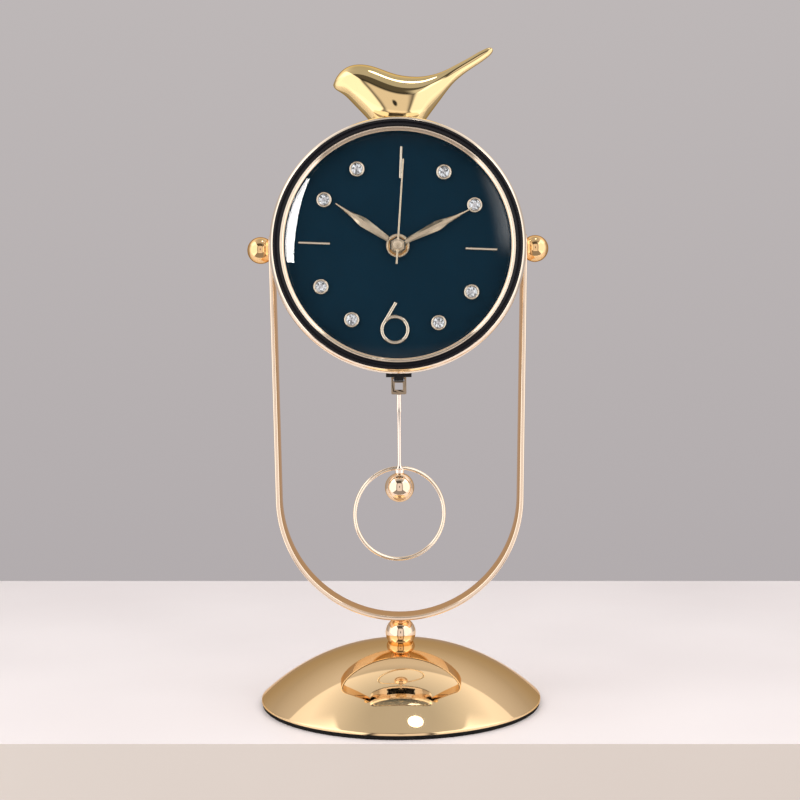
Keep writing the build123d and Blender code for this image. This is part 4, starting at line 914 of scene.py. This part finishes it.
def build_back_plate():
    """Black plate with a spigot, a groove along its edge and a raised rim round its window."""
    bevel, groove_radii, groove_depth = 0.53, (55.2, 55.45, 55.95, 56.2), 0.3
    spigot, spigot_end, spigot_width = case_bore - SEAT_ROOM, -low_of("rear_cover")[1], 1.5
    levels = (rear_face, rear_face + groove_depth, rear_face + groove_depth, rear_face)
    plate = [
        (0.0, rear_face), *zip(groove_radii, levels), (CASE_RADIUS - bevel, rear_face),
        (CASE_RADIUS, rear_face + bevel), (CASE_RADIUS, CASE_REAR), (spigot, CASE_REAR),
        (spigot, spigot_end), (spigot - spigot_width, spigot_end), (spigot - spigot_width, CASE_REAR),
        (0.0, CASE_REAR),
    ]
    disc = lathe("back_disc", plate, 256, on_head, CUT_SHARP)
    room, corner, margin = 1.0, 4.0, 5.0
    half, bore = high_of("movement_housing")[0] + room, SCREW_RADIUS + SCREW_ROOM
    low, high = rear_face - margin, CASE_REAR + margin
    cutters = [prism("window", square(half, corner), low, high)]
    for x, y in screw_places():
        hole = [(0.0, low), (bore, low), (bore, high), (0.0, high)]
        cutters.append(lathe("hole", hole, 24, beside(x, y)))
    cut(disc, joined("openings", cutters))

    width, height, sunk = 1.8, 0.5, 0.05
    offset = 0.7 * width

    def behind(point):
        x, y, z = point
        return on_head((x, y, rear_face + sunk - z))

    line = square(half + offset, corner + offset)
    rim = tube_along("window_rim", line, half_round(width, height + sunk), behind, loop=True)
    stand_in(joined("back_plate", [disc, rim]), "rear_cover", BLACK)


def build_screws():
    """Domed heads with a tapered cross, each left at its own turn."""
    head, wall, dome, crest = 2.6, 0.7, 0.3, 0.6
    wing, web, depth, taper = 1.6, 0.4, 0.95, 0.55
    top, tip = -high_of("rear_screws")[1], -low_of("rear_screws")[1]
    skin = arc((0.0, top), (crest * head, top + dome), (head, rear_face - wall), 10)[1:]
    outline = [
        (0.0, top), *skin, (head, rear_face), (SCREW_RADIUS, rear_face), (SCREW_RADIUS, tip), (0.0, tip),
    ]
    cross = [(wing, web), (web, web), (web, wing), (-web, wing), (-web, web), (-wing, web)]
    cross += [(-x, -y) for x, y in cross]
    levels = ((1 + (1 - taper) / 2, top - depth / 2), (taper, top + depth))
    screws = []
    for (x, y), turn in zip(screw_places(), SCREW_TURNS):
        place = beside(x, y, turn)
        screw = lathe("screw", outline, 64, place)
        recess = loft("recess", [[place((k * u, k * v, z)) for u, v in cross] for k, z in levels])
        screws.append(cut(screw, recess))
    stand_in(joined("cross_screws", screws), "rear_screws", STEEL)


def build_cell():
    """Round cell: dark jacket, bright band at the positive end, steel ends and nub."""
    nub, nub_length, soft, skin, sunk, jacket_share = 2.7, 1.3, 0.35, 0.9, 0.15, 0.68
    low, high = low_of("battery"), high_of("battery")
    radius = (high[2] - low[2]) / 2
    inner, edge = radius - skin, radius - soft
    start, end, tip = low[0], high[0] - nub_length, high[0]
    split = start + jacket_share * (end - start)
    jacket = [
        (inner, start), *around((edge, start + soft), soft, -pi / 2, 0.0, 5), (radius, split),
        (inner, split),
    ]
    band = [
        (inner, split), (radius, split), *around((edge, end - soft), soft, 0.0, pi / 2, 5), (inner, end),
    ]
    core = [
        (0.0, start + sunk), (inner, start + sunk), (inner, end - sunk), (nub, end - sunk),
        (nub, tip - soft), (nub - soft, tip), (0.0, tip),
    ]
    lying = along_x((low[1] + high[1]) / 2, (low[2] + high[2]) / 2)
    pieces = (("cell_wrap", jacket, CELL), ("cell_collar", band, CELL_BAND), ("cell_core", core, STEEL))
    for name, outline, material in pieces:
        stand_in(lathe(name, outline, 96, lying, sharp=30.0), "battery", material)


# Bird: place along X, back and belly above the drum, half width
BIRD = (
    (-30.1, 20.95, 20.85, 0.05), (-29.9, 21.5, 20.3, 0.5), (-29.3, 23.0, 19.3, 1.7),
    (-27.8, 25.5, 18.2, 3.4), (-25.0, 28.2, 16.4, 5.6), (-20.5, 30.1, 12.0, 8.0), (-15.0, 30.2, 6.2, 9.6),
    (-8.0, 28.3, -0.4, 10.7), (0.0, 25.5, -2.7, 11.0), (8.0, 24.4, -1.2, 10.0), (15.0, 24.9, 6.1, 7.6),
    (21.0, 26.6, 14.1, 4.9), (27.0, 29.4, 21.6, 3.4), (35.0, 33.7, 28.0, 2.6), (42.6, 37.7, 33.1, 2.0),
    (44.8, 38.1, 35.0, 1.4), (45.6, 37.5, 36.1, 0.7), (45.8, 36.85, 36.75, 0.05),
)


def build_bird():
    """Rings of points from beak to tail, with the belly let down on to the drum."""
    top, sides = PIVOT_Z + CASE_RADIUS, 96
    rings = []
    for x, back, belly, half in through(BIRD, 14):
        seat = PIVOT_Z + sqrt(CASE_RADIUS**2 - x * x)
        ring = []
        for i in range(sides):
            a = 2 * pi * i / sides
            z = top + (back + belly) / 2 + (back - belly) / 2 * sin(a)
            ring.append((x, half * cos(a), max(z, seat)))
        rings.append(ring)
    stand_in(loft("bird_cast", rings, sharp=60.0), "bird", BIRD_GOLD)


build_base()
build_frame()
build_knobs()
build_drum()
build_bezels()
lens = build_lens()
build_dial()
build_figures()
build_stones()
build_leaf_hands()
build_hub_nut()
build_second_hand()
build_stirrup()
build_pendulum()
build_back_plate()
build_screws()
build_cell()
build_bird()


# Camera

IMAGE_SIZE = 800
FOCAL_PIXELS = 1138
EYE = Vector((0.0005, -0.540, 0.142))
ROLL = 0.42
SENSOR_WIDTH = 36.0
NEAREST = 0.01

camera = bpy.data.cameras.new("camera")
camera.sensor_width = SENSOR_WIDTH
camera.lens = FOCAL_PIXELS / IMAGE_SIZE * SENSOR_WIDTH
camera.clip_start = NEAREST
eye = bpy.data.objects.new("camera", camera)
eye.location = EYE
eye.rotation_euler = Euler((radians(90.0), radians(ROLL), 0.0))
bpy.context.scene.collection.objects.link(eye)
bpy.context.scene.camera = eye
bpy.context.scene.view_settings.view_transform = "Standard"


# Table: a pale slab whose front and back edges lie level in the picture

BACK_EDGE_ROW = 581
FRONT_EDGE_ROW = 744
LEFT_END_COLUMN = -1000
RIGHT_END_COLUMN = 1800
TABLE_DROP = 60.0
TABLE_ROUGHNESS = (0.3, 0.45)
TABLE_CLOUDS = 5.0
# The second colour is a darker copy of the top's marble for the slab's front and sides: painted shade on the faces
# that don't look up
TABLE_COLOURS = {
    "pale_table": ((0.83, 0.775, 0.77), (0.87, 0.82, 0.815)),
    "table_side_painted_shade": ((0.54, 0.487, 0.443), (0.575, 0.515, 0.470)),
}


def on_table(column, row):
    """The point of the table top, in millimetres, seen at a place in the picture."""
    ray = Vector((column - IMAGE_SIZE / 2, IMAGE_SIZE / 2 - row, -FOCAL_PIXELS))
    ray.rotate(eye.rotation_euler)
    point = EYE - ray * (EYE.z / ray.z)
    return point.x / MM, point.y / MM, 0.0


front_edge = [on_table(column, FRONT_EDGE_ROW) for column in (LEFT_END_COLUMN, RIGHT_END_COLUMN)]
back_edge = [on_table(column, BACK_EDGE_ROW) for column in (RIGHT_END_COLUMN, LEFT_END_COLUMN)]
table_top = front_edge + back_edge
table = loft("table", [table_top, [(x, y, -TABLE_DROP) for x, y, _ in table_top]])
for name, colours in TABLE_COLOURS.items():
    table.data.materials.append(surface(name, *colours, TABLE_ROUGHNESS, TABLE_CLOUDS))
# Faces that don't look up take the darker copy, painted shade on the slab's sides
for polygon in table.data.polygons:
    upwards = abs(polygon.normal.z) > 0.5
    polygon.material_index = 0 if upwards else 1


# World: a grey wall behind, a dim room before the clock in what shines. Layers run between two heights on a
# sphere about the clock, the room between two depths

WALL_LOW = (0.445, 0.412, 0.42)
WALL_HIGH = (0.51, 0.475, 0.475)
WALL_LAYER = (-0.16, 0.33)
WALL_TOP = (0.72, 0.67, 0.66)
WALL_TOP_LAYER = (0.38, 0.7)
ROOM = (0.04, 0.038, 0.04)
ROOM_DEPTH = (-0.35, 0.1)
FLOOR = (0.34, 0.31, 0.30)
FLOOR_LAYER = (-0.42, -0.32)
CEILING = (0.11, 0.10, 0.09)
ROOM_CEILING_LAYER = (0.55, 0.62)
CEILING_LAYER = (0.74, 0.97)
DAYLIGHT = (0.56, 0.54, 0.54)
DAYLIGHT_STRENGTH = 1.08


def build_world():
    """The room as it is seen and mirrored, and an even daylight for what is lit."""
    world = bpy.data.worlds.new("studio")
    bpy.context.scene.world = world
    world.use_nodes = True
    tree = world.node_tree
    tree.nodes.clear()
    axes = add(tree, "SeparateXYZ", {"Vector": add(tree, "TexCoord")["Generated"]})
    ray = add(tree, "LightPath")

    def above(layer):
        return ramp(tree, axes["Z"], 0.0, 1.0, *layer)

    wall = blend_colour(tree, above(WALL_LAYER), WALL_LOW, WALL_HIGH)
    wall = blend_colour(tree, above(WALL_TOP_LAYER), wall, WALL_TOP)
    front = blend_colour(tree, above(FLOOR_LAYER), FLOOR, ROOM)
    front = blend_colour(tree, above(ROOM_CEILING_LAYER), front, CEILING)
    in_front = ramp(tree, axes["Y"], 1.0, 0.0, *ROOM_DEPTH)
    mirrored = combine(tree, "MULTIPLY", in_front, ray["Is Glossy Ray"])
    room = blend_colour(tree, mirrored, wall, front)
    room = blend_colour(tree, above(CEILING_LAYER), room, CEILING)
    seen = add(tree, "Background", {"Color": room})["Background"]
    lit = add(tree, "Background", {"Color": (*DAYLIGHT, 1.0), "Strength": DAYLIGHT_STRENGTH})["Background"]
    shown = combine(tree, "MAXIMUM", ray["Is Camera Ray"], ray["Is Glossy Ray"])
    shown = combine(tree, "MAXIMUM", shown, ray["Is Transmission Ray"])
    shader = add(tree, "MixShader", {"Fac": shown, 1: lit, 2: seen})["Shader"]
    add(tree, "OutputWorld", {"Surface": shader})


# Lamps: places and sizes in metres, a radiance for each

LAMP_TINT = (1.0, 0.98, 0.97)
SIDE_PLACE = Vector((0.70, -0.71, 0.425))
SIDE_SIZE = (2.02, 1.75)
SIDE_FADE = (0.25, 0.08)
CARD_Y = -1.6
CARD_Z = 0.305
CARD_TINT = (1.0, 0.90, 0.87)
CARD_HOLE = (0.06, 0.115)
HOLE_EDGE = (0.7, 1.3)
CEILING_Z = 1.3
CEILING_Y = 0.1
CEILING_BACK_Y = 0.5
CEILING_SIDE_X = 0.95
DOWNWARDS = 0.0001
LENS_PLACE = Vector((0.048, -0.02, 0.213))
GLEAM_ROLL = radians(-4.0)


def fall_off(tree, place, axis, share):
    """A value that rises from 0 at a lamp's two edges to 1 within a share of its width."""
    across = add(tree, "SeparateXYZ", {"Vector": place})[axis]
    edge = {"Value": combine(tree, "PINGPONG", across, 0.5), "From Max": share}
    return add(tree, "MapRange", edge, interpolation_type="SMOOTHSTEP")["Result"]


def hole_in(tree, place, half):
    """A value that is 0 in a soft oval at a lamp's middle and 1 around it."""
    steps = (("SUBTRACT", (0.5, 0.5, 0.0)), ("DIVIDE", (*half, 1.0)), ("MULTIPLY", (1.0, 1.0, 0.0)))
    for operation, by in steps:
        place = add(tree, "VectorMath", {0: place, 1: by}, operation=operation)["Vector"]
    reach = add(tree, "VectorMath", {0: place}, operation="LENGTH")["Value"]
    return ramp(tree, reach, 0.0, 1.0, *HOLE_EDGE)


def soft_box(name, place, aim, size, radiance, tint=LAMP_TINT, fade=None, shape="RECTANGLE", hole=None):
    """A lamp at a place, facing a point, as bright as a surface of that radiance and fading to its edges."""
    lamp = bpy.data.lights.new(name, "AREA")
    lamp.shape = shape
    lamp.size, lamp.size_y = size
    lamp.energy = radiance * pi * size[0] * size[1]
    lamp.color = tint
    if fade:
        lamp.use_nodes = True
        tree = lamp.node_tree
        where = add(tree, "NewGeometry")["Parametric"]
        across, along = (fall_off(tree, where, axis, share) for axis, share in zip("XY", fade))
        strength = combine(tree, "MULTIPLY", across, along)
        if hole:
            strength = combine(tree, "MULTIPLY", strength, hole_in(tree, where, hole))
        tree.links.new(strength, tree.nodes["Emission"].inputs["Strength"])
    obj = bpy.data.objects.new(name, lamp)
    obj.location = place
    obj.rotation_euler = (Vector(aim) - Vector(place)).to_track_quat("-Z", "Y").to_euler()
    obj.visible_camera = False
    bpy.context.scene.collection.objects.link(obj)
    return obj


def ceiling_box(name, x, y, size, radiance, fade):
    """A lamp under the ceiling that faces the floor."""
    soft_box(name, (x, y, CEILING_Z), (x, y + DOWNWARDS, 0.0), size, radiance, fade=fade)


def linked(lamp, state):
    """Lets a lamp show in the lens alone, or in all but the lens."""
    group = bpy.data.collections.new(lamp.name + "_lens")
    group.objects.link(lens)
    group.collection_objects[0].light_linking.link_state = state
    lamp.light_linking.receiver_collection = group


def hang_lamps():
    """Side boxes, a front card, a fill, a bright ceiling and a spot, and two lamps for the lens alone."""
    room_lamps = []
    for name, side, radiance in (("box_left", -1, 1.4), ("box_right", 1, 1.3)):
        place = SIDE_PLACE * Vector((side, 1, 1))
        aim = SIDE_PLACE * Vector((0, 1, 1))
        room_lamps.append(soft_box(name, place, aim, SIDE_SIZE, radiance, fade=SIDE_FADE))
    card = soft_box(
        "box_front", (0.0, CARD_Y, CARD_Z), (0.0, 0.0, CARD_Z), (1.5, 2.1), 0.86, CARD_TINT,
        fade=(0.2, 0.12), hole=CARD_HOLE,
    )
    fill = soft_box("box_fill", (0.62, -0.95, 1.15), (0.0, 0.0, 0.25), (0.7, 0.45), 0.7, fade=(0.3, 0.3))
    ceiling_box("box_top", 0.0, CEILING_Y, (4.6, 1.7), 0.44, (0.15, 0.03))
    ceiling_box("box_top_back", 0.0, CEILING_BACK_Y, (4.6, 0.9), 0.3, (0.15, 0.4))
    ceiling_box("box_top_left", -CEILING_SIDE_X, CEILING_Y, (2.2, 1.7), 0.55, (0.5, 0.03))
    ceiling_box("box_top_right", CEILING_SIDE_X, CEILING_Y, (2.2, 1.7), 0.45, (0.5, 0.03))
    soft_box("box_spot", (0.14, -0.11, 1.2), (0.0, 0.0, 0.0), (0.15, 0.15), 4.0, shape="DISK")
    for lamp in (*room_lamps, fill, card):
        linked(lamp, "EXCLUDE")
    left_of_lens = LENS_PLACE * Vector((-1, 1, 1))
    gleam = soft_box("box_gleam", (-0.595, -0.934, 0.507), left_of_lens, (0.138, 0.49), 24.0)
    gleam.rotation_euler.rotate_axis("Z", GLEAM_ROLL)
    linked(gleam, "INCLUDE")
    glow = soft_box("box_glow", (0.66, -0.88, 0.56), LENS_PLACE, (0.5, 0.6), 2.6, fade=(0.45, 0.3))
    linked(glow, "INCLUDE")


build_world()
hang_lamps()
